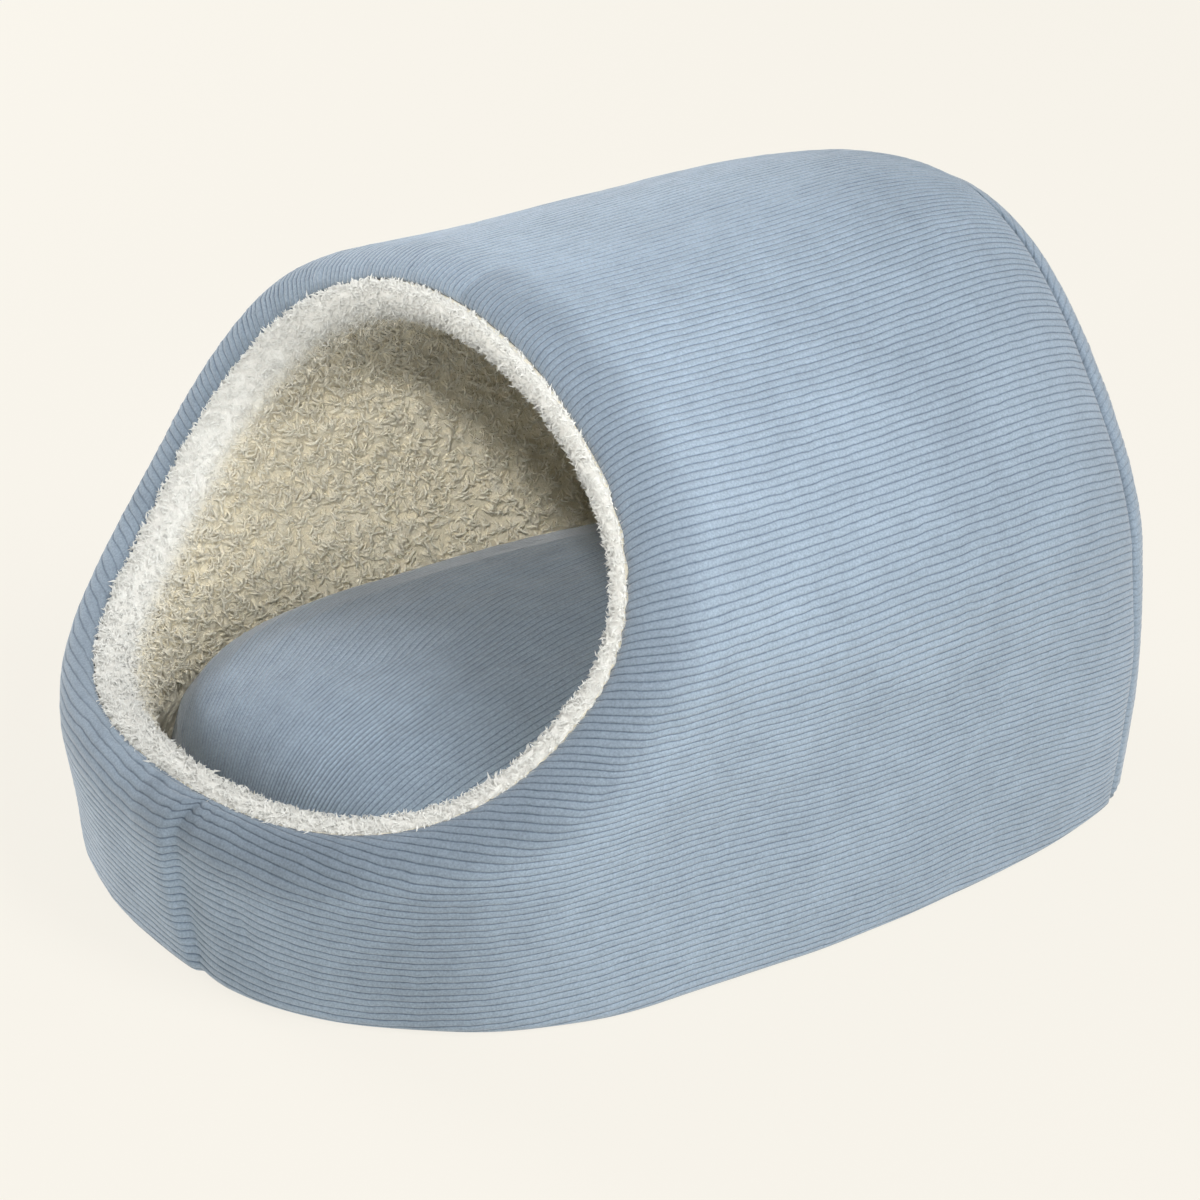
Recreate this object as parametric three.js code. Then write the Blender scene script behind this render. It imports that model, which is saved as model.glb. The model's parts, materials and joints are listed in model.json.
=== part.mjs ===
// A padded cave bed for a small pet, in millimetres, +Z up, standing on its flat base.
// The opening faces -Y. The origin is under the middle of the bed, on the floor.
// Pieces: a foam-padded corduroy cover, a padded back panel and base panel, a curly fleece
// lining that turns out over the rim, its back piece, and a loose corduroy cushion.

import * as THREE from 'three';
import { ParametricGeometry } from 'three/addons/geometries/ParametricGeometry.js';
import { mergeVertices } from 'three/addons/utils/BufferGeometryUtils.js';

// Driving dimensions.
const LENGTH = 506;
const WIDTH = 393;
const HEIGHT = 313;
const LIP_HEIGHT = 92;
const OPENING_LENGTH = 189;
const WALL = 28;
const FLEECE = 6;
const BASE_THICKNESS = 12;
const CUSHION_THICKNESS = 104;
const CUSHION_WIDTH = 290;
const CUSHION_CLEARANCE = 12;
const CUSHION_FRONT_CLEARANCE = 4;
const SEAT_GAP = 0.3;
const SKIN_GAP = 0.8;

// Cross-section of the hood: widest at this height, drawn in a little at the floor.
const WIDEST_HEIGHT = 162;
const FLOOR_TUCK = 13.4;
const TUCK_POWER = 2.2;
const ROOF_POWER = 1.75;

// Plan of the bed: a rounded front, then straight walls that narrow towards a rounded back.
// The roof rises a little towards the front.
const FRONT_LENGTH = 193.5;
const FRONT_POWER = 2.19;
const BACK_NARROWING = 0.195;
const NARROWING_POWER = 2.06;
const BACK_ROUNDING = 131;
const BACK_ROUND_POWER = 3.2;
const BACK_END_SCALE = 0.892;
const FRONT_RISE = 0.045;
const RISE_LENGTH = 330;
const RISE_POWER = 1.5;

// Side view of the opening: the rim sweeps forward from the roof down to the lip.
const RIM_BEND = 2.045;
const RIM_SWEEP = 0.532;

// The wall's edges: the rolled rim with its recess for the fleece, the small round at the
// floor and the mitre at the back, where the wall meets the back panel.
const RIM_RADIUS = 14;
const FOOT_RADIUS = 6;
const BACK_CROWN = 18;
const MITRE = 26;
const INNER_RECESS = FLEECE;
const INNER_START = INNER_RECESS + RIM_RADIUS;
const LEVEL_HEIGHT = 60;
const DENT_FADE = 40;

// Runs are measured back from the foremost point, which lies a little in front of the lip.
const TIP_INSET = 3;
const FRONT_Y = -(LENGTH + TIP_INSET) / 2;
const SEAM_RUN = LENGTH - BACK_CROWN;
const SEAM_Y = FRONT_Y + SEAM_RUN;
const INNER_BACK_Y = SEAM_Y - MITRE;

// The outer surface is described by two numbers. "around" runs from 0 at the front tip to 1
// at the back seam, negative on the left side. "up" runs from 0 at the floor to 1 at the ridge.
const FRONT_SHARE = 0.535;
const LEG_SHARE = 0.372;
const CORNER = 0.6;

// Mesh density.
const SLICES = 80;
const OUTSIDE_STEPS = 12;
const INSIDE_STEPS = 9;
const ROLL_STEPS = 3;
const CUSHION_SLICES = 48;
const RIM_SPACING = 3.2;
const HALVINGS = 24;
const TINY = 1e-9;

// Soft dents and folds of the padded cover: where, how far they reach and how deep they are.
const DENTS = [
  { around: 0.044, up: 0.1, reachAround: 0.026, reachUp: 0.13, depth: 3.5 },
  { around: 0.115, up: 0.1, reachAround: 0.03, reachUp: 0.06, depth: 1.5 },
  { around: 0.45, up: 0.36, reachAround: 0.09, reachUp: 0.05, depth: 2.5 },
  { around: 0.57, up: 0.2, reachAround: 0.09, reachUp: 0.04, depth: 2 },
  { around: 0.72, up: 0.26, reachAround: 0.1, reachUp: 0.04, depth: 1.5 },
  { around: -0.62, up: 0.38, reachAround: 0.12, reachUp: 0.05, depth: 2.5 },
  { around: -0.5, up: 0.22, reachAround: 0.1, reachUp: 0.03, depth: 2 },
];

// Lumps of the fleece's curly pile: three crossing waves, each with its direction.
const CURL_HEIGHT = 1.4;
const CURL_SPACING = 24;
const CURL_WAVES = [
  { x: 1, y: 0, z: 0.6 },
  { x: 0, y: 1, z: -0.5 },
  { x: 0.33, y: -0.42, z: 0.83 },
];

// The cushion's section from the middle of its underside to the middle of its crown: how far
// out each ring lies, as a share of the outline, and how high, as a share of the thickness.
const CUSHION_RINGS = [
  { reach: 0, height: 0 },
  { reach: 0.5, height: 0 },
  { reach: 0.8, height: 0 },
  { reach: 0.93, height: 0.09 },
  { reach: 0.99, height: 0.24 },
  { reach: 1, height: 0.4 },
  { reach: 0.965, height: 0.58 },
  { reach: 0.88, height: 0.74 },
  { reach: 0.75, height: 0.86 },
  { reach: 0.57, height: 0.945 },
  { reach: 0.36, height: 0.985 },
  { reach: 0, height: 1 },
];
const CUSHION_FRONT_SHARE = 0.42;
const CUSHION_FRONT_POWER = 2.6;
const CUSHION_BACK_POWER = 4;
const CUSHION_NARROWING = 0.1;
const CUSHION_SPINE = 0.55;
const PLEATS = 22;
const PLEAT_DEPTH = 1.5;

// The back panel's section outside the seam: how far each ring lies inside the wall's outer
// surface and how far it stands out past the seam.
const BACK_RINGS = [
  { inset: 6, out: 0.8 },
  { inset: 2.5, out: 4 },
  { inset: 3.5, out: 9 },
  { inset: 9, out: 14 },
  { inset: 24, out: 17.2 },
];
const MIDDLE_HEIGHT = 0.4 * HEIGHT;
const ARCH_FOOT_STEPS = 8;

// The lining's layer, its turned-out edge and its far edges.
const RIM_PROUD = 3;
const LINING_DEPTH = WALL + SKIN_GAP;
const LINING_FACE = LINING_DEPTH + FLEECE;
const RIM_SEAM_DEPTH = RIM_RADIUS + SKIN_GAP;
const LINING_FLOOR = BASE_THICKNESS + SEAT_GAP;
const LINING_BACK_Y = INNER_BACK_Y - SKIN_GAP;
const LINING_HEM = 1;
const LINING_BACK_SHARES = [0.94, 0.75, 0.5, 0.25];

function signedPower(value, power) {
  return Math.sign(value) * Math.abs(value) ** power;
}

// Height and share of the full half width at a place "up" the cross-section.
function crossSection(up) {
  if (up < LEG_SHARE) {
    const height = (WIDEST_HEIGHT * up) / LEG_SHARE;
    const below = (WIDEST_HEIGHT - height) / WIDEST_HEIGHT;
    return { height, width: 1 - (FLOOR_TUCK / (WIDTH / 2)) * below ** TUCK_POWER };
  }
  const angle = ((Math.PI / 2) * (up - LEG_SHARE)) / (1 - LEG_SHARE);
  const rise = signedPower(Math.sin(angle), 2 / ROOF_POWER);
  return { height: WIDEST_HEIGHT + (HEIGHT - WIDEST_HEIGHT) * rise, width: Math.cos(angle) };
}

// The place "up" the cross-section that has a given height.
function upAtHeight(height) {
  if (height < WIDEST_HEIGHT) {
    return (LEG_SHARE * height) / WIDEST_HEIGHT;
  }
  const rise = (height - WIDEST_HEIGHT) / (HEIGHT - WIDEST_HEIGHT);
  const angle = Math.asin(Math.min(1, rise ** (ROOF_POWER / 2)));
  return LEG_SHARE + ((1 - LEG_SHARE) * angle) / (Math.PI / 2);
}

// How far the front tip is drawn in at a height.
function tipInset(height, width) {
  return height < WIDEST_HEIGHT ? (WIDTH / 2) * (1 - width) : 0;
}

// A point of the smooth outer surface.
function outerPoint(around, up) {
  const { height, width } = crossSection(up);
  const path = Math.abs(around);
  let x = (WIDTH / 2) * width;
  let z = height;
  let run;
  if (path < FRONT_SHARE) {
    const angle = ((Math.PI / 2) * path) / FRONT_SHARE;
    const curve = Math.cos(angle) ** (2 / FRONT_POWER);
    x *= Math.sin(angle) ** (2 / FRONT_POWER);
    run = FRONT_LENGTH - (FRONT_LENGTH - tipInset(height, width)) * curve;
  } else {
    run = FRONT_LENGTH + ((path - FRONT_SHARE) / (1 - FRONT_SHARE)) * (SEAM_RUN - FRONT_LENGTH);
    const straight = Math.max(0, (run - FRONT_LENGTH) / (LENGTH - FRONT_LENGTH));
    const rounding = Math.max(0, (run - (LENGTH - BACK_ROUNDING)) / BACK_ROUNDING);
    const drop = rounding ** BACK_ROUND_POWER * (1 - BACK_END_SCALE ** BACK_ROUND_POWER);
    const roundScale = (1 - drop) ** (1 / BACK_ROUND_POWER);
    x *= (1 - BACK_NARROWING * straight ** NARROWING_POWER) * roundScale;
    z *= roundScale;
  }
  z *= 1 + FRONT_RISE * Math.max(0, 1 - run / RISE_LENGTH) ** RISE_POWER;
  return new THREE.Vector3(Math.sign(around) * x, FRONT_Y + run, z);
}

// The outward direction there, level near the floor so that the wall stands flat on it.
function outwardAt(around, up) {
  const step = 0.004;
  const alongPath = outerPoint(around + step, up).sub(outerPoint(around - step, up));
  const alongUp = outerPoint(around, up + step).sub(outerPoint(around, up - step));
  const outward = alongPath.cross(alongUp).normalize();
  outward.z *= THREE.MathUtils.smoothstep(outerPoint(around, up).z, 0, LEVEL_HEIGHT);
  return outward.normalize();
}

// How far the dents push the surface in.
function dentDepth(around, up) {
  return DENTS.reduce((depth, dent) => {
    const sideways = (around - dent.around) / dent.reachAround;
    const upwards = (up - dent.up) / dent.reachUp;
    return depth + dent.depth * Math.exp(-(sideways ** 2) - upwards ** 2);
  }, 0);
}

// The place of the opening's rim at t, from 0 at the lip's tip to 1 at the roof.
function rimPlace(t) {
  const climb = 1 - (1 - t ** RIM_SPACING) ** 2;
  const height = LIP_HEIGHT + (HEIGHT - LIP_HEIGHT) * climb;
  const up = upAtHeight(height);
  const inset = tipInset(height, crossSection(up).width);
  const sweep = (1 - (1 - climb) ** RIM_BEND) ** RIM_SWEEP;
  const run = inset + (OPENING_LENGTH - inset) * sweep;
  const reach = (FRONT_LENGTH - run) / (FRONT_LENGTH - inset);
  const angle = Math.acos(reach ** (FRONT_POWER / 2));
  return new THREE.Vector2((FRONT_SHARE * angle) / (Math.PI / 2), up);
}

// The right half of the rim, used to space the wall's lines evenly along it.
class RimCurve extends THREE.Curve {
  getPoint(t) {
    const place = rimPlace(t);
    return outerPoint(place.x, place.y);
  }
}

const rim = new RimCurve();
rim.arcLengthDivisions = 400;

// The wall's far edge at t: along the floor to the back corner, then up the back seam.
function farPlace(t) {
  return t < CORNER
    ? new THREE.Vector2(t / CORNER, 0)
    : new THREE.Vector2(1, (t - CORNER) / (1 - CORNER));
}

// A line over the outer surface from the rim to the wall's far edge.
class WallLine extends THREE.Curve {
  constructor(index) {
    super();
    const turn = index / SLICES;
    this.side = turn < 0.5 ? 1 : -1;
    this.t = turn < 0.5 ? 2 * turn : 2 - 2 * turn;
    this.start = rimPlace(rim.getUtoTmapping(this.t));
    this.end = farPlace(this.t);
    this.arcLengthDivisions = 60;
    this.length = this.getLength();
  }

  getPoint(share) {
    const place = this.start.clone().lerp(this.end, share);
    return outerPoint(this.side * place.x, place.y);
  }

  placeAt(distance) {
    const share = distance <= 0 ? 0 : this.getUtoTmapping(0, Math.min(distance, this.length));
    return this.start.clone().lerp(this.end, share);
  }

  outward(distance) {
    const place = this.placeAt(distance);
    return outwardAt(this.side * place.x, place.y);
  }

  // The point at a distance from the rim, at a depth under the outer surface. Past the rim
  // the line goes straight on.
  pointAt(distance, depth) {
    const place = this.placeAt(distance);
    const around = this.side * place.x;
    const dent = dentDepth(around, place.y) * THREE.MathUtils.smoothstep(distance, 0, DENT_FADE);
    const point = outerPoint(around, place.y);
    point.addScaledVector(outwardAt(around, place.y), -depth - dent);
    if (distance < 0) {
      const forward = this.pointAt(0, depth).sub(this.pointAt(1, depth)).normalize();
      point.addScaledVector(forward, -distance);
    }
    point.z = Math.max(0, point.z);
    return point;
  }

  // The distance at which a point at a depth comes down to a height or back to a place.
  reach(depth, lowest, furthest) {
    let near = 0;
    let far = this.length;
    for (let i = 0; i < HALVINGS; i += 1) {
      const middle = (near + far) / 2;
      const point = this.pointAt(middle, depth);
      if (point.z > lowest && point.y < furthest) {
        near = middle;
      } else {
        far = middle;
      }
    }
    return near;
  }
}

const wallLines = Array.from({ length: SLICES }, (_, index) => new WallLine(index));
const backLines = wallLines.filter((line) => line.t >= CORNER - TINY);
const floorLines = wallLines.filter((line) => line.t <= CORNER + TINY);

function evenSteps(from, to, steps) {
  return Array.from({ length: steps + 1 }, (_, i) => from + ((to - from) * i) / steps);
}

// Sine and cosine at even steps of a quarter turn.
function quarterTurn(steps) {
  return evenSteps(0, Math.PI / 2, steps).map((angle) => [Math.sin(angle), Math.cos(angle)]);
}

// A closed solid whose faces join each ring of points to the next. The rings have the same
// number of points. With open ends the first and last ring have shrunk to a point or a line,
// and otherwise the last ring joins the first.
function solidThrough(rings, openEnds) {
  const slices = rings[0].length;
  const stacks = openEnds ? rings.length - 1 : rings.length;
  const surface = (u, v, target) => {
    const ring = rings[Math.round(v * stacks) % rings.length];
    target.copy(ring[Math.round(u * slices) % slices]);
  };
  const geometry = new ParametricGeometry(surface, slices, stacks);
  geometry.deleteAttribute('normal');
  geometry.deleteAttribute('uv');
  return turnedOutward(withoutFlatFaces(mergeVertices(geometry, 1e-3)));
}

// Faces that lost a corner when their vertices were merged are dropped.
function withoutFlatFaces(geometry) {
  const source = geometry.getIndex().array;
  const index = [];
  for (let i = 0; i < source.length; i += 3) {
    const [a, b, c] = source.slice(i, i + 3);
    if (a !== b && b !== c && c !== a) {
      index.push(a, b, c);
    }
  }
  geometry.setIndex(index);
  return geometry;
}

function turnedOutward(geometry) {
  const index = Array.from(geometry.getIndex().array);
  const position = geometry.getAttribute('position');
  const [a, b, c] = [new THREE.Vector3(), new THREE.Vector3(), new THREE.Vector3()];
  let volume = 0;
  for (let i = 0; i < index.length; i += 3) {
    [a, b, c].forEach((corner, k) => corner.fromBufferAttribute(position, index[i + k]));
    volume += a.dot(b.cross(c)) / 6;
  }
  geometry.setIndex(volume < 0 ? index.reverse() : index);
  geometry.computeVertexNormals();
  return geometry;
}

// Turns one list of points for each line into one ring for each row.
function ringsFromProfiles(profiles) {
  return profiles[0].map((_, row) => profiles.map((profile) => profile[row]));
}

// The point at a depth under the surface, at a place "up" a side wall and at a given Y.
function pointInPlane(side, up, depth, y) {
  let near = FRONT_SHARE;
  let far = 1;
  const pointAround = (path) => outerPoint(side * path, up)
    .addScaledVector(outwardAt(side * path, up), -depth);
  for (let i = 0; i < HALVINGS; i += 1) {
    const middle = (near + far) / 2;
    if (pointAround(middle).y < y) {
      near = middle;
    } else {
      far = middle;
    }
  }
  return pointAround(near).setY(y);
}

// Where a layer at a depth ends: at a height along the floor, or at a Y where it meets the back.
function farPoint(line, depth, floor, backY) {
  if (line.t < CORNER - TINY) {
    return line.pointAt(line.reach(depth, floor, backY), depth).setZ(floor);
  }
  const up = Math.max(line.end.y, upAtHeight(floor));
  const point = pointInPlane(line.side, up, depth, backY);
  return line.t < CORNER + TINY ? point.setZ(floor) : point;
}

// Distances from the rim of the rows that the wall's inside and the lining share.
function insideDistances(line) {
  const end = line.reach(WALL, LINING_FLOOR, LINING_BACK_Y - SKIN_GAP);
  return evenSteps(INNER_START, end, INSIDE_STEPS);
}

// The cover is the padded wall. Its section runs over the rolled rim, down the outside, round
// the foot and back up the inside to the recess where the fleece is sewn on.
function coverProfile(line) {
  const roll = quarterTurn(ROLL_STEPS)
    .map(([sine, cosine]) => line.pointAt(RIM_RADIUS * (1 - sine), RIM_RADIUS * (1 - cosine)))
    .reverse();
  const outside = evenSteps(RIM_RADIUS, line.length - FOOT_RADIUS, OUTSIDE_STEPS)
    .slice(1)
    .map((distance) => line.pointAt(distance, 0));
  const foot = quarterTurn(2)
    .slice(1)
    .map(([sine, cosine]) => line.pointAt(
      line.length - FOOT_RADIUS * (1 - sine),
      FOOT_RADIUS * (1 - cosine),
    ));
  const inside = insideDistances(line)
    .map((distance) => line.pointAt(distance, WALL))
    .reverse();
  const innerRoll = quarterTurn(ROLL_STEPS)
    .slice(1)
    .map(([sine, cosine]) => line.pointAt(
      INNER_START - RIM_RADIUS * sine,
      RIM_RADIUS + (WALL - RIM_RADIUS) * cosine,
    ));
  const innerEnd = farPoint(line, WALL, 0, INNER_BACK_Y);
  return [...roll, ...outside, ...foot, innerEnd, ...inside, ...innerRoll];
}

function makeCover() {
  return solidThrough(ringsFromProfiles(wallLines.map(coverProfile)), false);
}

// How far the curly pile's lumps stand out at a point.
function curl(point) {
  const turn = (2 * Math.PI) / CURL_SPACING;
  const waves = CURL_WAVES.map(({ x, y, z }) => (
    Math.sin(turn * (x * point.x + y * point.y + z * point.z))
  ));
  return (CURL_HEIGHT / waves.length) * waves.reduce((sum, wave) => sum + wave, 0);
}

function curledPoint(line, distance, depth) {
  return line.pointAt(distance, depth + curl(line.pointAt(distance, depth)));
}

// The lining is a layer of fleece inside the wall, turned out over the rim to its seam and
// standing a little proud there.
function liningProfile(line) {
  const distances = insideDistances(line).slice(0, -1);
  const under = quarterTurn(ROLL_STEPS).map(([sine, cosine]) => line.pointAt(
    INNER_START - RIM_SEAM_DEPTH * cosine,
    RIM_SEAM_DEPTH + (LINING_DEPTH - RIM_SEAM_DEPTH) * sine,
  ));
  const outside = distances.slice(1).map((distance) => line.pointAt(distance, LINING_DEPTH));
  const inside = distances
    .map((distance) => curledPoint(line, distance, LINING_FACE))
    .reverse();
  const over = quarterTurn(ROLL_STEPS)
    .slice(1, -1)
    .map(([sine, cosine]) => curledPoint(
      line,
      INNER_START - (INNER_START + RIM_PROUD) * sine,
      RIM_SEAM_DEPTH + (LINING_FACE - RIM_SEAM_DEPTH) * cosine,
    ));
  return [
    line.pointAt(-RIM_PROUD, RIM_SEAM_DEPTH),
    line.pointAt(0, RIM_SEAM_DEPTH),
    ...under,
    ...outside,
    farPoint(line, LINING_DEPTH, LINING_FLOOR, LINING_BACK_Y),
    farPoint(line, LINING_FACE, LINING_FLOOR, LINING_BACK_Y),
    ...inside,
    ...over,
  ].reverse();
}

function makeLining() {
  return solidThrough(ringsFromProfiles(wallLines.map(liningProfile)), false);
}

// An arch as a closed ring: its own points and the straight edge that joins its feet.
function closedArch(arch) {
  const [first, last] = [arch[0], arch[arch.length - 1]];
  const foot = evenSteps(0, 1, ARCH_FOOT_STEPS).slice(1, -1);
  return [...arch, ...foot.map((share) => last.clone().lerp(first, share))];
}

// A ring drawn in towards a middle point.
function drawnIn(ring, middle, share) {
  return ring.map((point) => middle.clone().lerp(point, share));
}

// The back panel closes the mitred end of the wall. It is flat inside and crowned outside,
// with a soft edge at the seam.
function makeBackPanel() {
  const innerEdge = closedArch(backLines.map((line) => (
    farPoint(line, WALL + SKIN_GAP, 0, INNER_BACK_Y)
  )));
  const outerRings = BACK_RINGS.map(({ inset, out }) => closedArch(backLines.map((line) => {
    const outward = line.outward(line.length).setY(0).normalize();
    return line.pointAt(line.length, 0)
      .addScaledVector(outward, -inset - SKIN_GAP)
      .setY(SEAM_Y + out);
  })));
  const innerMiddle = new THREE.Vector3(0, INNER_BACK_Y, MIDDLE_HEIGHT);
  const outerMiddle = new THREE.Vector3(0, SEAM_Y + BACK_CROWN, MIDDLE_HEIGHT);
  const lastRing = outerRings[outerRings.length - 1];
  return solidThrough([
    drawnIn(innerEdge, innerMiddle, 0),
    drawnIn(innerEdge, innerMiddle, 0.5),
    innerEdge,
    ...outerRings,
    drawnIn(lastRing, outerMiddle, 0.5),
    drawnIn(lastRing, outerMiddle, 0),
  ], true);
}

// The base panel is a flat pad inside the foot of the wall.
function makeBasePanel() {
  const outline = floorLines.map((line) => {
    const { x, y } = farPoint(line, WALL + SKIN_GAP, 0, LINING_BACK_Y);
    return new THREE.Vector2(x, y);
  });
  const settings = { depth: BASE_THICKNESS, bevelEnabled: false };
  return new THREE.ExtrudeGeometry(new THREE.Shape(outline), settings);
}

// The lining's back piece: a fleece slab that hangs against the back panel.
function makeLiningBack() {
  const faceY = LINING_BACK_Y - FLEECE;
  const depth = LINING_FACE + CURL_HEIGHT + SKIN_GAP;
  const arch = closedArch(backLines.map((line) => (
    farPoint(line, depth, LINING_FLOOR, LINING_BACK_Y)
  )));
  const middle = new THREE.Vector3(0, faceY, MIDDLE_HEIGHT);
  const moved = (ring, y) => ring.map((point) => point.clone().setY(y));
  const curled = LINING_BACK_SHARES.map((share) => (
    moved(drawnIn(arch, middle, share), faceY).map((point) => point.setY(faceY - curl(point)))
  ));
  return solidThrough([
    moved(drawnIn(arch, middle, 0), LINING_BACK_Y),
    moved(arch, LINING_BACK_Y),
    moved(arch, faceY + LINING_HEM),
    ...curled,
    moved(drawnIn(arch, middle, 0), faceY),
  ], true);
}

// The cushion's outline: a blunt round front and a squarer back, narrowing with the walls.
function cushionOutline(turn) {
  const frontY = FRONT_Y + FLOOR_TUCK + LINING_FACE + CUSHION_FRONT_CLEARANCE;
  const backY = LINING_BACK_Y - FLEECE - CUSHION_CLEARANCE;
  const widestY = frontY + CUSHION_FRONT_SHARE * (backY - frontY);
  const angle = 2 * Math.PI * turn;
  const isBack = Math.cos(angle) > 0;
  const power = 2 / (isBack ? CUSHION_BACK_POWER : CUSHION_FRONT_POWER);
  const along = signedPower(Math.cos(angle), power);
  const narrowing = isBack ? 1 - CUSHION_NARROWING * along ** 2 : 1;
  return new THREE.Vector3(
    (CUSHION_WIDTH / 2) * signedPower(Math.sin(angle), power) * narrowing,
    widestY + along * (isBack ? backY - widestY : widestY - frontY),
    0,
  );
}

// The loose cushion: flat below, crowned above, with its sides drawn into small pleats.
function makeCushion() {
  const turns = evenSteps(0, 1, CUSHION_SLICES).slice(0, -1);
  const rings = CUSHION_RINGS.map(({ reach, height }) => turns.map((turn) => {
    const pleat = 1 - (PLEAT_DEPTH / CUSHION_WIDTH) * Math.cos(2 * Math.PI * PLEATS * turn);
    const edge = cushionOutline(turn);
    const spine = new THREE.Vector3(0, edge.y * CUSHION_SPINE, 0);
    const z = BASE_THICKNESS + SEAT_GAP + CUSHION_THICKNESS * height;
    return spine.lerp(edge, reach * pleat).setZ(z);
  }));
  return solidThrough(rings, true);
}

const bed = new THREE.Group();

function addPiece(name, geometry, color, roughness) {
  const material = new THREE.MeshStandardMaterial({ color, roughness, metalness: 0 });
  const mesh = new THREE.Mesh(geometry, material);
  mesh.name = name;
  bed.add(mesh);
}

const CORDUROY = 0xa3b4c5;
const CURLY_FLEECE = 0xdedbd0;

addPiece('cover', makeCover(), CORDUROY, 0.9);
addPiece('back_panel', makeBackPanel(), CORDUROY, 0.9);
addPiece('base_panel', makeBasePanel(), CORDUROY, 0.9);
addPiece('lining', makeLining(), CURLY_FLEECE, 1);
addPiece('lining_back', makeLiningBack(), CURLY_FLEECE, 1);
addPiece('cushion', makeCushion(), CORDUROY, 0.9);

export default bed;
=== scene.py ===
"""A covered cave bed for a small pet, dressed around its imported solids.

The shell is pale blue-grey corduroy over foam, the inside is cream curly fleece that turns out
over the rim, and a loose corduroy cushion lies on the base. Lengths in the tables are in
millimetres, and every mesh is made in metres in the row frame.
"""

import json
import math

import bmesh
import bpy
import numpy as np
from mathutils import Matrix, Vector, kdtree, noise

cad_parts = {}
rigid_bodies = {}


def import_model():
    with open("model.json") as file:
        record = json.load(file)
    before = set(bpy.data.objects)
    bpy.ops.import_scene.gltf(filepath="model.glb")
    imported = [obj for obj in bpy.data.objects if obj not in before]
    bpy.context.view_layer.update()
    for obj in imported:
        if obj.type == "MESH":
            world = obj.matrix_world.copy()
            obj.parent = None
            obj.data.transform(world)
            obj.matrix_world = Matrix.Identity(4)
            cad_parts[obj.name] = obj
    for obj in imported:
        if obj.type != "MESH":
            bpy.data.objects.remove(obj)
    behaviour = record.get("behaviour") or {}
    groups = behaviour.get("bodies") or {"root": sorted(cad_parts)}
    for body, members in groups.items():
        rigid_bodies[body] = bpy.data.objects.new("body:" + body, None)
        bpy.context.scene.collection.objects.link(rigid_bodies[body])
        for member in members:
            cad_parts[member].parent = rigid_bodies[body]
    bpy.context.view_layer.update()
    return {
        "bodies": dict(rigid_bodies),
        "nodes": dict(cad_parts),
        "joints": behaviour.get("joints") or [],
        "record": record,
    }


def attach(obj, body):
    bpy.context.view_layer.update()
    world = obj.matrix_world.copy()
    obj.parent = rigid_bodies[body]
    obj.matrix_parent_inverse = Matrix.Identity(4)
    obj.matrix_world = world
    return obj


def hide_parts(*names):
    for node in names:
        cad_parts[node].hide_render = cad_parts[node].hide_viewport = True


bl_info = {
    "name": "Cave bed",
    "version": (1, 0, 0),
    "blender": (4, 5, 0),
    "location": "3D View > Sidebar > Cave bed",
    "description": "Builds a corduroy cave bed with a fleece lining and a cushion",
    "category": "Object",
}

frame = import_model()

MM = 0.001

# The shell's form, as in the solids.
LENGTH = 506.0
WIDTH = 393.0
HEIGHT = 313.0
LIP_HEIGHT = 92.0
OPENING_LENGTH = 189.0
WALL = 28.0
FLEECE = 6.0
SKIN_GAP = 0.8
SEAT_GAP = 0.3
BASE_THICKNESS = 12.0
WIDEST_HEIGHT = 162.0
FLOOR_TUCK = 13.4
TUCK_POWER = 2.2
ROOF_POWER = 1.75
FRONT_LENGTH = 193.5
FRONT_POWER = 2.19
BACK_NARROWING = 0.195
NARROWING_POWER = 2.06
BACK_ROUNDING = 131.0
BACK_ROUND_POWER = 3.2
BACK_END_SCALE = 0.892
FRONT_RISE = 0.045
RISE_LENGTH = 330.0
RISE_POWER = 1.5
RIM_BEND = 2.045
RIM_SWEEP = 0.532
RIM_SPACING = 3.2
TIP_INSET = 3.0
BACK_CROWN = 18.0
MITRE = 26.0
RIM_RADIUS = 14.0
LEVEL_HEIGHT = 60.0
DENT_FADE = 40.0
FRONT_SHARE = 0.535
LEG_SHARE = 0.372
CORNER = 0.6
FRONT_Y = -(LENGTH + TIP_INSET) / 2
SEAM_RUN = LENGTH - BACK_CROWN
SEAM_Y = FRONT_Y + SEAM_RUN
INNER_BACK_Y = SEAM_Y - MITRE
INNER_START = FLEECE + RIM_RADIUS
LINING_DEPTH = WALL + SKIN_GAP
LINING_FACE = LINING_DEPTH + FLEECE
RIM_SEAM_DEPTH = RIM_RADIUS + SKIN_GAP
LINING_FLOOR = BASE_THICKNESS + SEAT_GAP
LINING_BACK_Y = INNER_BACK_Y - SKIN_GAP
LINING_BACK_DEPTH = LINING_FACE + 0.4

# Soft dents of the padded shell, and bulges where the depth is below 0: around, up, reach
# around, reach up, depth.
DENTS = (
    (0.052, 0.1, 0.026, 0.13, 2.0),
    (0.115, 0.1, 0.03, 0.06, 1.5),
    (0.45, 0.36, 0.09, 0.05, 2.5),
    (0.57, 0.2, 0.09, 0.04, 2.0),
    (0.72, 0.26, 0.1, 0.04, 1.5),
    (-0.62, 0.38, 0.12, 0.05, 2.5),
    (-0.5, 0.22, 0.1, 0.03, 2.0),
    (-0.21, 0.0, 0.06, 0.09, -3.5),
    (0.14, 0.0, 0.08, 0.09, -3.5),
    (0.72, 0.0, 0.15, 0.09, -3.5),
    (0.99, 0.2, 0.07, 0.14, -4.5),
    (-0.99, 0.2, 0.07, 0.14, -4.5),
)

# How the soft form settles away from the solids, as shares: the ridge round a place back from
# the tip, and the roof's shoulders at the back round an "up".
RIDGE_SAG = 0.02
RIDGE_SAG_AT = (200.0, 130.0)
CORNER_SAG = 0.05
CORNER_SAG_AT = (0.62, 0.19)

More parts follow.
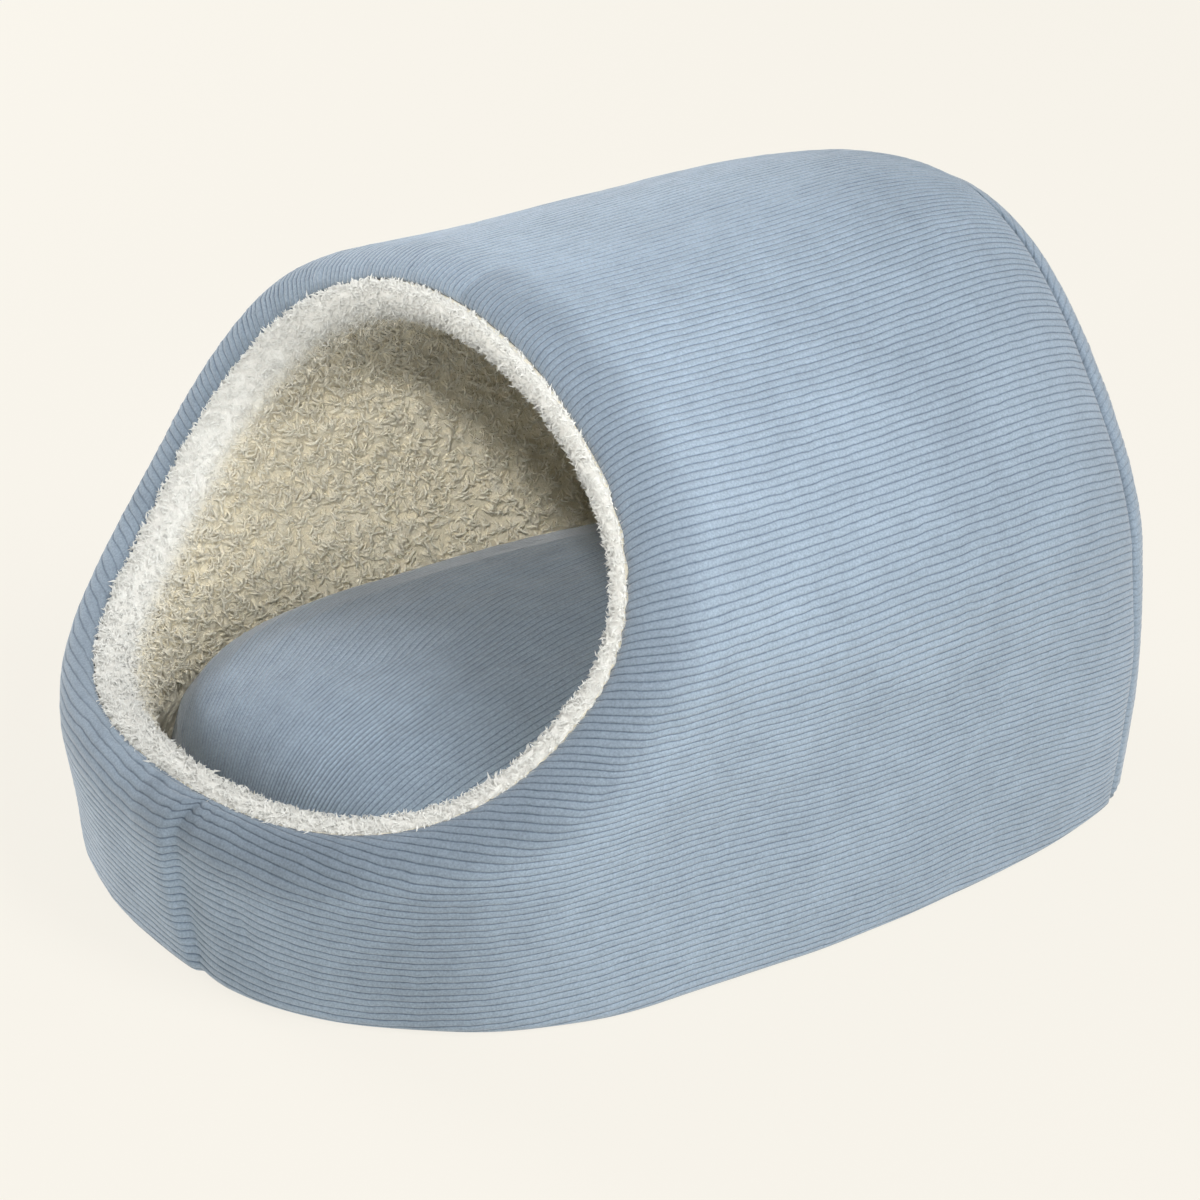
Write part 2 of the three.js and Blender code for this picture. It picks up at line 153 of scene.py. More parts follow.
# The crease down the nose: up, and where it lies around. Left of it the cloth bulges over it.
CREASE = (
    (0.0, 0.052),
    (0.03, 0.047),
    (0.073, 0.04),
    (0.123, 0.039),
    (0.175, 0.043),
    (0.24, 0.064),
)
CREASE_BULGE = 2.8
CREASE_BULGE_REACH = 19.0
CREASE_DEPTH = 4.0
CREASE_DEPTH_REACH = 11.0
CREASE_TOP = (0.31, 0.22)
AROUND_LENGTH = 570.0
PUCKER = 0.9
PUCKER_SPACING = 8.5
WRINKLE = ((0.04, 0.136), (0.097, 0.121), (0.142, 0.097), (0.17, 0.085))
WRINKLE_DEPTH = 0.7
WRINKLE_REACH = 2.2

# The padded rim's bulge: around, how far out, and how far from the rim it's highest.
SWELL = (
    (-0.4, 9.5, 6.0),
    (-0.2, 5.0, 8.0),
    (-0.08, 4.8, 15.0),
    (0.03, 3.8, 22.0),
    (0.15, 3.0, 28.0),
    (0.28, 2.5, 28.0),
    (0.42, 7.0, 28.0),
)
SWELL_FRONT = 20.0
SWELL_BACK = 42.0
SWELL_TOP = (0.83, 0.58)

# Painted shade on the corduroy beside the rim, where the rolled cloth turns from the light: how
# far it reaches, and its share on the left. On the nose's right it is a band of painted shade from
# the
# rim to the floor: around, reach, share.
SHADE_REACH = 40.0
SHADE_FULL = 12.0
SHADE_LEFT = 0.55
SHADE_FRONT = (0.3, 0.07, 0.75)

# The cloth's edges and mesh.
ROLL_WIDTH = 24.0
TURNED_UNDER = 5.0
EDGE_RADIUS = 4.0
CREASE_SPAN = (14.0, 82.0)
CREASE_STEP = 2.4
FRONT_STEP = 4.8
BACK_STEP = 6.4
EDGE_SPAN = 12.0
EDGE_STEP = 3.0
SAMPLES = 2001
HIDDEN_SLICES = 96
HIDDEN_ROWS = 17

# The fleece's mesh: slices round the opening, and rows over the rim, inside, behind and under.
FLEECE_SLICES = 440
TRIM_ROWS = 22
FLEECE_ROWS = 102
BEHIND_ROWS = 18
UNDER_ROWS = 4
WHITE_ROWS = (TRIM_ROWS + 2, TRIM_ROWS - 12)

# The fleece's relief: size and height of its lumps, its curls and its small tufts.
LUMPS = (17.0, 0.9)
CURLS = (8.0, 2.4)
TUFTS = (4.0, 0.9)

# A lock of pile, for a length of 1. Then the locks of each part of the fleece: how many, their
# size, how upright they stand, and how wide the curls are that they are drawn together into.
LOCK_RADIUS = 0.12
HOOK_RADIUS = 0.75
HOOK_ANGLE = 1.3
RIM_LOCKS = (17000, 0.6, 1.0, 4.0)
LEFT_LOCKS = (18500, 1.0, 0.8, 7.0)
RIGHT_LOCKS = (10500, 1.0, 0.8, 7.0)
BACK_LOCKS = (5000, 1.0, 0.8, 7.0)
LOCKS_ABOVE = 58.0
BACK_LOCKS_ABOVE = 100.0
LOCK_ROOT = 0.5

# The fleece turned out over the rim, from its seam against the cloth's rolled edge to the
# inside: how far in from the rim, and how deep.
TRIM = (
    (0.1, 15.0),
    (-0.9, 15.4),
    (-2.2, 17.2),
    (-2.9, 19.8),
    (-2.6, 23.2),
    (-1.0, 27.2),
    (2.0, 30.8),
    (6.5, 33.6),
    (12.0, 35.0),
    (20.0, 35.4),
)

# A wale's section: the share of its pitch from its groove, and how high its pile stands there.
WALE_PHASES = (0.0, 0.15, 0.5, 0.85)
WALE_HEIGHTS = (0.0, 0.85, 1.0, 0.85)

# How uneven the pile stands on a wale's sides and on its crown: share of its height, lump size
# along the wale, and lumps across a wale.
UNEVEN_SIDES = (0.35, 9.0, 1.7)
UNEVEN_CROWN = (0.12, 14.0, 0.9)

# The soft cloth's wales lie closer low down: path up the cloth from the floor, and the wale at
# a pitch of 4 mm.
WALES_PITCH = 4.0
WALES = (
    (-30, -9.0),
    (0, 0.0),
    (30, 8.8),
    (60, 17.2),
    (90, 26.0),
    (120, 35.1),
    (150, 43.4),
    (180, 50.3),
    (215, 58.3),
    (260, 69.0),
    (310, 81.1),
    (380, 98.2),
    (450, 116.0),
)

# How far each wale wanders up or down on its way back from the nose: a row for each height up
# the cloth, over places along it.
DRIFT_PLACES = (0, 60, 110, 150, 190, 230, 270, 300, 335, 385, 440, 490, 545, 592)
DRIFT = (
    (0, (-7, -12, -14, -13, -10, -6, -1.5, 1, 2, 1, 0, -0.7, -5, -9.5)),
    (30, (-4.4, -3.7, -8.2, -8.1, -6.4, -2.4, 3, 5.2, 4.6, 2.8, 0, 1.1, -4.6, -11.5)),
    (60, (-3, 2.3, -2.5, -4.9, -3.2, 0.9, 5.1, 6.7, 5.6, 2.4, 0, 0.4, -5.3, -13.2)),
    (90, (5.4, 9.5, 4.7, -0.7, -1, 2.9, 7.6, 8.4, 6.1, 2.2, 0, -0.5, -5.3, -11.7)),
    (120, (15.3, 13.1, 9.6, 6.3, 4.5, 5.3, 7.9, 8.6, 5.7, 1.6, 0, -1, -4.3, -8.9)),
    (150, (18, 14, 10.8, 8.3, 6.1, 4.8, 4.2, 4.3, 2, -0.3, 0, -0.7, -3.4, -6.6)),
    (215, (10, 6.5, 3.5, 1.4, -0.6, -2.2, -3.3, -3.4, -2.8, -1.5, 0, -0.4, -2, -3.5)),
    (260, (6.8, 3.5, 0.9, -0.9, -2, -2.4, -1.7, -0.7, -0.5, -0.6, 0, -0.6, -0.4, 1.5)),
    (310, (3.8, 1.3, -0.6, -2, -2.8, -2.8, -2, -0.5, 2.3, 2, 0, -1, 1, 6.3)),
    (380, (0.5, -0.7, -1.6, -2.3, -2.9, -3.1, -2.5, -0.5, 4.7, 3.4, 0, -0.7, 3.2, 7.1)),
    (450, (0,) * 14),
)
DRIFT_SOFTENED = (-18, -6, 6, 18)
WALE_WAVER = 0.45

# The back panel's edge outside the seam: inset from the wall's outer surface, out past it.
BACK_EDGE = ((4.5, 0.1), (1.0, 2.6), (3.5, 8.0), (9.5, 13.0), (24.0, 17.2))
BACK_CROWN_REACH = 30.0
BACK_MIDDLE = 0.4 * HEIGHT

# The cushion's section from its crown to its underside: reach and height as shares.
CUSHION_SECTION = (
    (0.0, 1.0),
    (0.36, 0.985),
    (0.57, 0.945),
    (0.75, 0.86),
    (0.88, 0.74),
    (0.965, 0.58),
    (1.0, 0.4),
    (0.99, 0.24),
    (0.93, 0.09),
    (0.8, 0.0),
)
CUSHION_THICKNESS = 104.0
CUSHION_WIDTH = 290.0
CUSHION_FRONT_Y = FRONT_Y + FLOOR_TUCK + LINING_FACE + 4.0
CUSHION_BACK_Y = LINING_BACK_Y - FLEECE - 12.0
CUSHION_FRONT_SHARE = 0.42
CUSHION_FRONT_POWER = 2.6
CUSHION_BACK_POWER = 4.0
CUSHION_NARROWING = 0.1
CUSHION_SPINE = 0.55

# Half the cloth over the cushion, across and along, and its wales: they lie turned from the
# bed's length, more so at the front on the left.
CUSHION_CLOTH = (235.0, 290.0)
WALE_TURN = 10.0
WALE_TURN_FRONT = 18.0
CUSHION_ROWS = 80

# The filling pushes the cloth out: a coarse grid for the cloth solver, and the furthest a point
# may move.
PUFF_GRID = (56, 72)
PUFF_START = 0.965
PUFF_CAP = 6.0

# Its cloth is stretched a little wider than the shell's, and is a little darker: the same cloth,
# darkened as painted shade.
CUSHION_STRETCH = 1.04
CUSHION_PAINTED_SHADE = 0.88

# The small pleats at the cushion's front on the left: depth, spacing, and where they lie along.
PLEATS = (1.2, 11.0)
PLEATS_AT = (-0.42, 0.16)

# Soft hollows in the cushion: across, along, half width across and along, depth.
HOLLOWS = (
    (0.18, 0.3, 0.1, 0.42, 3.0),
    (-0.2, 0.12, 0.07, 0.3, 1.6),
    (0.5, 0.5, 0.12, 0.3, 2.5),
)


def linear(code):
    """An sRGB hex colour as linear values."""
    shares = [int(code[i : i + 2], 16) / 255 for i in (1, 3, 5)]
    return tuple(c / 12.92 if c < 0.04045 else ((c + 0.055) / 1.055) ** 2.4 for c in shares)


class BedCloth(bpy.types.PropertyGroup):
    """Sizes and colours of the bed's cloths."""

    wale_pitch: bpy.props.FloatProperty(
        name="Wale pitch",
        description="Distance between the corduroy's wales",
        default=0.004,
        min=0.002,
        max=0.012,
        unit="LENGTH",
    )
    wale_height: bpy.props.FloatProperty(
        name="Wale height",
        description="How far the wales stand above their grooves",
        default=0.0005,
        min=0.0,
        max=0.003,
        unit="LENGTH",
    )
    corduroy: bpy.props.FloatVectorProperty(
        name="Corduroy",
        description="Colour of the corduroy's pile",
        default=linear("#98A8B8"),
        size=3,
        min=0.0,
        max=1.0,
        subtype="COLOR",
    )
    # The grooves' darker colour is partly the bare ground's and partly painted shade in the
    # grooves.
    groove: bpy.props.FloatVectorProperty(
        name="Groove",
        description="Colour of the ground between the wales",
        default=linear("#6D7D8F"),
        size=3,
        min=0.0,
        max=1.0,
        subtype="COLOR",
    )
    fleece: bpy.props.FloatVectorProperty(
        name="Fleece",
        description="Colour of the fleece's locks",
        default=linear("#F0F1EC"),
        size=3,
        min=0.0,
        max=1.0,
        subtype="COLOR",
    )
    # The rim's locks and the inside's are one fleece in two colours: the inside's, brighter and
    # warmer, is partly the fleece's cream and partly painted light bounced inside the bed.
    fleece_inner: bpy.props.FloatVectorProperty(
        name="Fleece inside",
        description="Colour of the fleece's locks inside the bed",
        default=linear("#FFF9E6"),
        size=3,
        min=0.0,
        max=1.0,
        subtype="COLOR",
    )
    # Painted shade between the locks on the turned-out edge.
    fleece_root_shade: bpy.props.FloatVectorProperty(
        name="Fleece roots at the rim",
        description="Colour between the locks on the turned-out edge",
        default=linear("#E6E5DF"),
        size=3,
        min=0.0,
        max=1.0,
        subtype="COLOR",
    )
    # Painted shade, darker and warmer, between the locks inside the bed.
    fleece_depth_shade: bpy.props.FloatVectorProperty(
        name="Fleece between the locks",
        description="Colour of the fleece's ground between its locks",
        default=linear("#F5EBD0"),
        size=3,
        min=0.0,
        max=1.0,
        subtype="COLOR",
    )
    lock_length: bpy.props.FloatProperty(
        name="Lock length",
        description="Length of a curly lock of the fleece",
        default=0.0074,
        min=0.002,
        max=0.015,
        unit="LENGTH",
    )


class BedStage(bpy.types.PropertyGroup):
    """Light and floor of the studio."""

    floor: bpy.props.FloatVectorProperty(
        name="Floor",
        description="Colour of the pale floor",
        default=linear("#F8F4EB"),
        size=3,
        min=0.0,
        max=1.0,
        subtype="COLOR",
    )
    key_power: bpy.props.FloatProperty(
        name="Key light",
        description="Power of the large soft light above the bed's right side",
        default=40.0,
        min=0.0,
        unit="POWER",
    )
    right_power: bpy.props.FloatProperty(
        name="Right light",
        description="Power of the low soft light at the bed's right",
        default=18.0,
        min=0.0,
        unit="POWER",
    )
    left_power: bpy.props.FloatProperty(
        name="Left light",
        description="Power of the low soft light at the bed's left",
        default=38.0,
        min=0.0,
        unit="POWER",
    )
    mouth_power: bpy.props.FloatProperty(
        name="Mouth light",
        description="Power of the narrow soft light into the bed's mouth",
        default=300.0,
        min=0.0,
        unit="POWER",
    )
    inside_power: bpy.props.FloatProperty(
        name="Inside light",
        description="Power of the light that reaches far into the bed",
        default=45.0,
        min=0.0,
        unit="POWER",
    )
    fill: bpy.props.FloatProperty(
        name="Fill light",
        description="Strength of the even light from all round",
        default=0.42,
        min=0.0,
    )


# The outer surface. "around" runs from 0 at the front tip to 1 at the back seam, negative on
# the left; "up" runs from 0 at the floor to 1 at the ridge.


def cross_section(up):
    """Each "up"'s height on the outer surface, and its share of the full width."""
    leg = WIDEST_HEIGHT * up / LEG_SHARE
    below = np.abs(WIDEST_HEIGHT - leg) / WIDEST_HEIGHT
    leg_width = 1 - FLOOR_TUCK / (WIDTH / 2) * below**TUCK_POWER
    angle = np.pi / 2 * (up - LEG_SHARE) / (1 - LEG_SHARE)
    rise = np.sign(np.sin(angle)) * np.abs(np.sin(angle)) ** (2 / ROOF_POWER)
    roof = WIDEST_HEIGHT + (HEIGHT - WIDEST_HEIGHT) * rise
    is_leg = up < LEG_SHARE
    return np.where(is_leg, leg, roof), np.where(is_leg, leg_width, np.cos(angle))


def up_at_height(height):
    """The "up" at a height."""
    rise = np.clip((height - WIDEST_HEIGHT) / (HEIGHT - WIDEST_HEIGHT), 0, 1)
    angle = np.arcsin(rise ** (ROOF_POWER / 2))
    roof = LEG_SHARE + (1 - LEG_SHARE) * angle / (np.pi / 2)
    return np.where(height < WIDEST_HEIGHT, LEG_SHARE * height / WIDEST_HEIGHT, roof)


def tip_inset(height, width):
    """How far back the nose's tip lies, low down where the wall draws in."""
    return np.where(height < WIDEST_HEIGHT, WIDTH / 2 * (1 - width), 0.0)


def outer_point(around, up):
    """A point of the outer surface."""
    height, width = cross_section(up)
    path = np.abs(around)
    x = WIDTH / 2 * width
    angle = np.pi / 2 * np.minimum(path, FRONT_SHARE) / FRONT_SHARE
    curve = np.abs(np.cos(angle)) ** (2 / FRONT_POWER)
    is_front = path < FRONT_SHARE
    front_run = FRONT_LENGTH - (FRONT_LENGTH - tip_inset(height, width)) * curve
    back_share = (path - FRONT_SHARE) / (1 - FRONT_SHARE)
    run = np.where(is_front, front_run, FRONT_LENGTH + back_share * (SEAM_RUN - FRONT_LENGTH))
    straight = np.maximum(0, (run - FRONT_LENGTH) / (LENGTH - FRONT_LENGTH))
    rounding = np.maximum(0, (run - (LENGTH - BACK_ROUNDING)) / BACK_ROUNDING)
    drop = rounding**BACK_ROUND_POWER * (1 - BACK_END_SCALE**BACK_ROUND_POWER)
    scale = np.where(is_front, 1.0, (1 - drop) ** (1 / BACK_ROUND_POWER))
    front_x = np.abs(np.sin(angle)) ** (2 / FRONT_POWER)
    back_x = (1 - BACK_NARROWING * straight**NARROWING_POWER) * scale
    x = x * np.where(is_front, front_x, back_x)
    lift = 1 + FRONT_RISE * np.maximum(0, 1 - run / RISE_LENGTH) ** RISE_POWER
    lift = lift - RIDGE_SAG * hill(run, *RIDGE_SAG_AT) * smoothstep(up, 0.5, 0.8)
    corner = CORNER_SAG * straight**3 * hill(up, *CORNER_SAG_AT)
    x, z = x * (1 - corner), height * scale * lift * (1 - corner)
    return np.stack([np.sign(around) * x, FRONT_Y + run, z], -1)


def unit(vectors):
    """Vectors brought to a length of 1."""
    return vectors / np.maximum(np.linalg.norm(vectors, axis=-1, keepdims=True), 1e-12)


def smoothstep(value, low, high):
    """Rises softly from 0 at low to 1 at high, or falls where low is the higher."""
    share = np.clip((value - low) / (high - low), 0, 1)
    return share * share * (3 - 2 * share)


def hill(value, middle, reach):
    """A soft hill, 1 at its middle."""
    return np.exp(-(((value - middle) / reach) ** 2))


def swell(distance, around, up):
    """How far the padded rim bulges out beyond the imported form, at a distance from its edge."""
    places, heights, peaks = np.array(SWELL).T
    peak = np.interp(around, places, peaks)
    reach = np.where(distance < peak, SWELL_FRONT, SWELL_BACK)
    shape = hill(distance, peak, reach) * smoothstep(up, *SWELL_TOP)
    return np.interp(around, places, heights) * shape


def crease_lift(around, up, distance):
    """The sewn crease down the nose, its puckers at the rim and the thin wrinkle beside it."""
    place = np.interp(up, *np.array(CREASE).T)
    along = (around - place) * AROUND_LENGTH
    left = 1 / (1 + np.exp(np.clip(along / 0.8, -30, 30)))
    bulge = CREASE_BULGE * hill(along, 0, CREASE_BULGE_REACH)
    dip = CREASE_DEPTH * np.exp(-np.maximum(along, 0) / CREASE_DEPTH_REACH)
    depth = left * bulge - (1 - left) * dip
    depth *= smoothstep(up, *CREASE_TOP) * smoothstep(up, -0.05, 0.05)
    near = hill(along, 4, 17) * hill(distance, 0, 13)
    puckers = PUCKER * near * np.cos(2 * np.pi * (along + 0.25 * distance) / PUCKER_SPACING)
    thin = (around - np.interp(up, *np.array(WRINKLE).T)) * AROUND_LENGTH
    ends = smoothstep(up, 0.03, 0.06) * smoothstep(up, 0.18, 0.13)
    wrinkle = WRINKLE_DEPTH * ends * hill(thin, 0, WRINKLE_REACH)
    return depth + puckers - wrinkle


def outward_at(around, up):
    """The outward direction on the outer surface, level near the floor."""
    step = 0.004
    along = outer_point(around + step, up) - outer_point(around - step, up)
    upwards = outer_point(around, up + step) - outer_point(around, up - step)
    outward = unit(np.cross(along, upwards))
    outward[..., 2] *= smoothstep(outer_point(around, up)[..., 2], 0, LEVEL_HEIGHT)
    return unit(outward)


def dent_depth(around, up):
    """How deep the dents are on the outer surface."""
    depth = np.zeros(np.broadcast(around, up).shape)
    for at_around, at_up, reach_around, reach_up, deep in DENTS:
        sideways = (around - at_around) / reach_around
        upwards = (up - at_up) / reach_up
        depth += deep * np.exp(-(sideways**2) - upwards**2)
    return depth


def rim_place(t):
    """The rim at t, from 0 at the lip's tip to 1 at the roof, as around and up."""
    climb = 1 - (1 - t**RIM_SPACING) ** 2
    height = LIP_HEIGHT + (HEIGHT - LIP_HEIGHT) * climb
    up = up_at_height(height)
    inset = tip_inset(height, cross_section(up)[1])
    run = inset + (OPENING_LENGTH - inset) * (1 - (1 - climb) ** RIM_BEND) ** RIM_SWEEP
    reach = np.clip((FRONT_LENGTH - run) / (FRONT_LENGTH - inset), 0, 1)
    angle = np.arccos(reach ** (FRONT_POWER / 2))
    return FRONT_SHARE * angle / (np.pi / 2), up


def path_lengths(points):
    """How far along the path through them each point is."""
    steps = np.linalg.norm(np.diff(points, axis=-2), axis=-1)
    start = np.zeros(steps.shape[:-1] + (1,))
    return np.concatenate([start, np.cumsum(steps, -1)], -1)


def even_rim(shares):
    """around and up at even shares of the rim's length."""
    t = np.linspace(0, 1, 801)
    around, up = rim_place(t)
    length = path_lengths(outer_point(around, up))
    return rim_place(np.interp(shares, length / length[-1], t))


def rolled(path, width, depth):
    """How cloth lies near a rolled edge: at a path from where it turns level with the edge, how
    far in from the edge it is and how deep."""
    mean = 3 * (width + depth) - math.sqrt((3 * width + depth) * (width + 3 * depth))
    quarter = math.pi * mean / 4
    angle = np.pi / 2 * (1 - np.clip(path / quarter, 0, 1))
    inward = np.where(path > quarter, path - quarter + width, width * (1 - np.sin(angle)))
    inward = np.where(path < 0, -path, inward)
    return inward, depth * (1 - np.cos(angle)), quarter - width


class WallLines:
    """Lines over the outer surface from the rim to the wall's far edge, all the way round."""

    def __init__(self, count):
        turn = np.arange(count) / count
        self.side = np.where(turn < 0.5, 1.0, -1.0)[:, None]
        self.t = np.where(turn < 0.5, 2 * turn, 2 - 2 * turn)
        self.start = np.stack(even_rim(self.t), -1)
        on_floor = self.t < CORNER
        self.end = np.stack(
            [
                np.where(on_floor, self.t / CORNER, 1.0),
                np.where(on_floor, 0.0, (self.t - CORNER) / (1 - CORNER)),
            ],
            -1,
        )
        self.shares = np.linspace(0, 1, 161)
        places = self.places(np.broadcast_to(self.shares, (count, 161)))
        self.points = outer_point(self.side * places[..., 0], places[..., 1])
        self.lengths = path_lengths(self.points)
        self.forward = unit(self.points[:, 0] - self.points[:, 1])

    def places(self, shares):
        """Gives "around" and "up" at shares of each line."""
        return self.start[:, None] + (self.end - self.start)[:, None] * shares[..., None]

    def at(self, distances, depths):
        """Points at distances along each line from the rim, and at depths under the surface."""
        shares = np.stack(
            [np.interp(d, own, self.shares) for d, own in zip(distances, self.lengths)]
        )
        places = self.places(shares)
        around, up = self.side * places[..., 0], places[..., 1]
        dent = dent_depth(around, up) * smoothstep(distances, 0, DENT_FADE)
        points = outer_point(around, up)
        points -= (depths + dent)[..., None] * outward_at(around, up)
        points += np.maximum(0, -distances)[..., None] * self.forward[:, None]
        points[..., 2] = np.maximum(0, points[..., 2])
        return points

    def reach(self, depth, floor, back):
        """How far each line goes at a depth before it comes to the floor or the back."""
        steps = np.linspace(0, 1, 200) * self.lengths[:, -1:]
        points = self.at(steps, np.full(steps.shape, depth))
        inside = (points[..., 2] > floor) & (points[..., 1] < back)
        last = np.where(inside.all(1), 199, np.argmin(inside, 1) - 1)
        return np.take_along_axis(steps, np.maximum(last, 1)[:, None], 1)[:, 0]


# Meshes.


def unit_grid(columns, rows, copies=1):
    """A mesh of flat grids, whose vertices lie at whole numbers: column, row and copy."""
    made = bmesh.new()
    for copy in range(copies):
        scale = Matrix.Diagonal((columns, rows, 1, 1))
        place = Matrix.Translation((columns / 2, rows / 2, copy))
        bmesh.ops.create_grid(
            made, x_segments=columns, y_segments=rows, size=0.5, matrix=place @ scale
        )
    mesh = bpy.data.meshes.new("grid")
    made.to_mesh(mesh)
    made.free()
    at = np.zeros(len(mesh.vertices) * 3, np.float32)
    mesh.vertices.foreach_get("co", at)
    return mesh, np.rint(at.reshape(-1, 3)).astype(int)


def set_points(mesh, points):
    """Moves a mesh's vertices to points in millimetres."""
    mesh.vertices.foreach_set("co", (points * MM).astype(np.float32).ravel())
    mesh.update()


def get_points(mesh):
    """A mesh's vertices in millimetres."""
    points = np.zeros(len(mesh.vertices) * 3, np.float32)
    mesh.vertices.foreach_get("co", points)
    return points.reshape(-1, 3) / MM


def set_weave(mesh, along, across):
    """The cloth's own coordinates: metres along the wales, and the number of the wale."""
    corner = np.zeros(len(mesh.loops), np.int32)
    mesh.loops.foreach_get("vertex_index", corner)
    layer = mesh.uv_layers.new(name="weave")
    values = np.stack([along[corner], across[corner]], -1).astype(np.float32)
    layer.uv.foreach_set("vector", values.ravel())


def set_values(mesh, name, values):
    """A number for each vertex that a material reads: "pile" is 0 in the fleece's ground and 1
    at its tips, "white" is 1 on its turned-out edge, "calm" is 1 where sewing flattens the
    corduroy, and a fourth, on the shell, is 1 where the corduroy is darkened by painted shade."""
    layer = mesh.attributes.new(name, "FLOAT", "POINT")
    layer.data.foreach_set("value", np.asarray(values).astype(np.float32).ravel())


def grid_normals(points, wrap_rows=False, wrap_columns=False):
    """Outward directions of a grid of points, by the differences between neighbours."""
    down = differences(points, 0, wrap_rows)
    across = differences(points, 1, wrap_columns)
    return unit(np.cross(across, down))


def differences(points, axis, wrap):
    """Differences between a grid's neighbours, round its edge too where it wraps."""
    if wrap:
        return np.roll(points, -1, axis) - np.roll(points, 1, axis)
    return np.gradient(points, axis=axis)


def space_noise(points, size, seed):
    """Smooth noise from -1 to 1 with lumps of about a size, in space."""
    scaled = points.reshape(-1, 3) / size + seed * 17.3
    return np.array([noise.noise(p) for p in scaled]).reshape(points.shape[:-1])


def cell_noise(points, size, seed):
    """How near each point is to the middle of its own curl, 1 at the middle."""
    scaled = points.reshape(-1, 3) / size + seed * 11.1
    near = np.array([noise.voronoi(p)[0][0] for p in scaled])
    return 1 - np.minimum(1, near).reshape(points.shape[:-1])


def cloth_noise(along, across, seed):
    """Smooth noise from -1 to 1 over two cloth coordinates."""
    table = np.random.default_rng(seed).uniform(-1, 1, (128, 128))
    column, row = np.floor(along).astype(int), np.floor(across).astype(int)
    share_x, share_y = along - column, across - row
    share_x, share_y = (s * s * (3 - 2 * s) for s in (share_x, share_y))
    low = table[row % 128, column % 128] * (1 - share_x)
    low += table[row % 128, (column + 1) % 128] * share_x
    high = table[(row + 1) % 128, column % 128] * (1 - share_x)
    high += table[(row + 1) % 128, (column + 1) % 128] * share_x
    return low * (1 - share_y) + high * share_y


def wale_relief(along, across, height):
    """How high the corduroy's pile stands: flat-topped wales with uneven grooves between."""
    shape = np.interp(across % 1, (*WALE_PHASES, 1.0), (*WALE_HEIGHTS, 0.0))
    share, size, lumps = UNEVEN_SIDES
    sides = 1 + share * cloth_noise(along / size, across * lumps, 3)
    share, size, lumps = UNEVEN_CROWN
    crown = share * cloth_noise(along / size, across * lumps, 5)
    return height * (shape * sides + crown)


def wale_rows(first, last):
    """The mesh's rows across the wales, as wale numbers."""
    return np.append((np.arange(first, last)[:, None] + WALE_PHASES).ravel(), last)


def waver(along, across):
    """The small sideways wander of each groove."""
    return WALE_WAVER * cloth_noise(along / 8.5 + 40, across * 0.45 + 7, 11)


def drift(path, height):
    """How far the shell's wales wander, at places along them and heights up the cloth."""
    heights, rows = zip(*DRIFT)
    count = len(DRIFT_SOFTENED)
    even = [
        sum(np.interp(path + o, DRIFT_PLACES, row) for o in DRIFT_SOFTENED) / count for row in rows
    ]
    return np.array([np.interp(height, heights, column) for column in np.array(even).T]).T


def nearest(points, sought):
    """For each sought point the index of the nearest of the points, and how far off it is."""
    tree = kdtree.KDTree(len(points))
    for index, point in enumerate(points):
        tree.insert(point, index)
    tree.balance()
    found = np.array([tree.find(p)[1:] for p in sought])
    return found[:, 0].astype(int), found[:, 1]


def smooth(mesh):
    """Shades a mesh smoothly."""
    mesh.polygons.foreach_set("use_smooth", np.ones(len(mesh.polygons), bool))
    mesh.update()


def boundary(made):
    """The vertices on a mesh's open edges."""
    return {v for e in made.edges if e.is_boundary for v in e.verts}


def add_piece(name, mesh, material, slot, *nodes):
    """Adds a finished piece, and says what it rides on, replaces and is made of."""
    mesh.name = name
    smooth(mesh)
    piece = bpy.data.objects.new(name, mesh)
    bpy.context.scene.collection.objects.link(piece)
    mesh.materials.append(material)
    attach(piece, "root")
    if nodes:
        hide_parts(*nodes)
    return piece


def closed(made, mesh):
    """Writes a bmesh back as a closed mesh whose faces point outwards."""
    bmesh.ops.recalc_face_normals(made, faces=made.faces)
    made.to_mesh(mesh)
    made.free()
    return mesh


# Materials. A noise's scale is 1 over the size of its lumps in metres. On the weave the scales
# are for metres along the wales and whole wales across them.

SOFT_RANGE = {"interpolation_type": "SMOOTHSTEP"}
BLEND = {"data_type": "RGBA"}
TINT = {"data_type": "RGBA", "blend_type": "MULTIPLY"}
ROUGH = {"Roughness": 0.55}

# Broken ends of the corduroy's pile along a wale, and the small beads of pile in its grooves.
BROKEN_SCALE = (160.0, 1.3, 1.0)
BEADS_SCALE = (420.0, 3.1, 1.0)


def add_node(tree, kind, settings, inputs, output=0):
    """Adds a shader node with its settings and its inputs, each a socket to link or a plain
    value, and gives the socket that it puts out."""
    node = tree.nodes.new("ShaderNode" + kind)
    for key, value in settings.items():
        setattr(node, key, value)
    for key, value in inputs.items():
        if isinstance(value, bpy.types.NodeSocket):
            tree.links.new(value, node.inputs[key])
        else:
            node.inputs[key].default_value = value
    return node.outputs[output] if node.outputs else None


def new_material(name):
    """A material with an empty node tree, and the tree."""
    material = bpy.data.materials.get(name) or bpy.data.materials.new(name)
    material.use_nodes = True
    material.node_tree.nodes.clear()
    return material, material.node_tree


def finish_cloth(tree, colour, bump, roughness, sheen):
    """Gives a cloth its colour, its relief and its matt, softly shining surface."""
    normal = add_node(tree, "Bump", {}, bump)
    surface = {
        "Base Color": colour,
        "Normal": normal,
        "Roughness": roughness,
        "IOR": 1.45,
        "Specular IOR Level": 0.2,
        "Sheen Weight": sheen,
        "Sheen Roughness": 0.45,
    }
    shader = add_node(tree, "BsdfPrincipled", {}, surface)
    add_node(tree, "OutputMaterial", {}, {"Surface": shader})


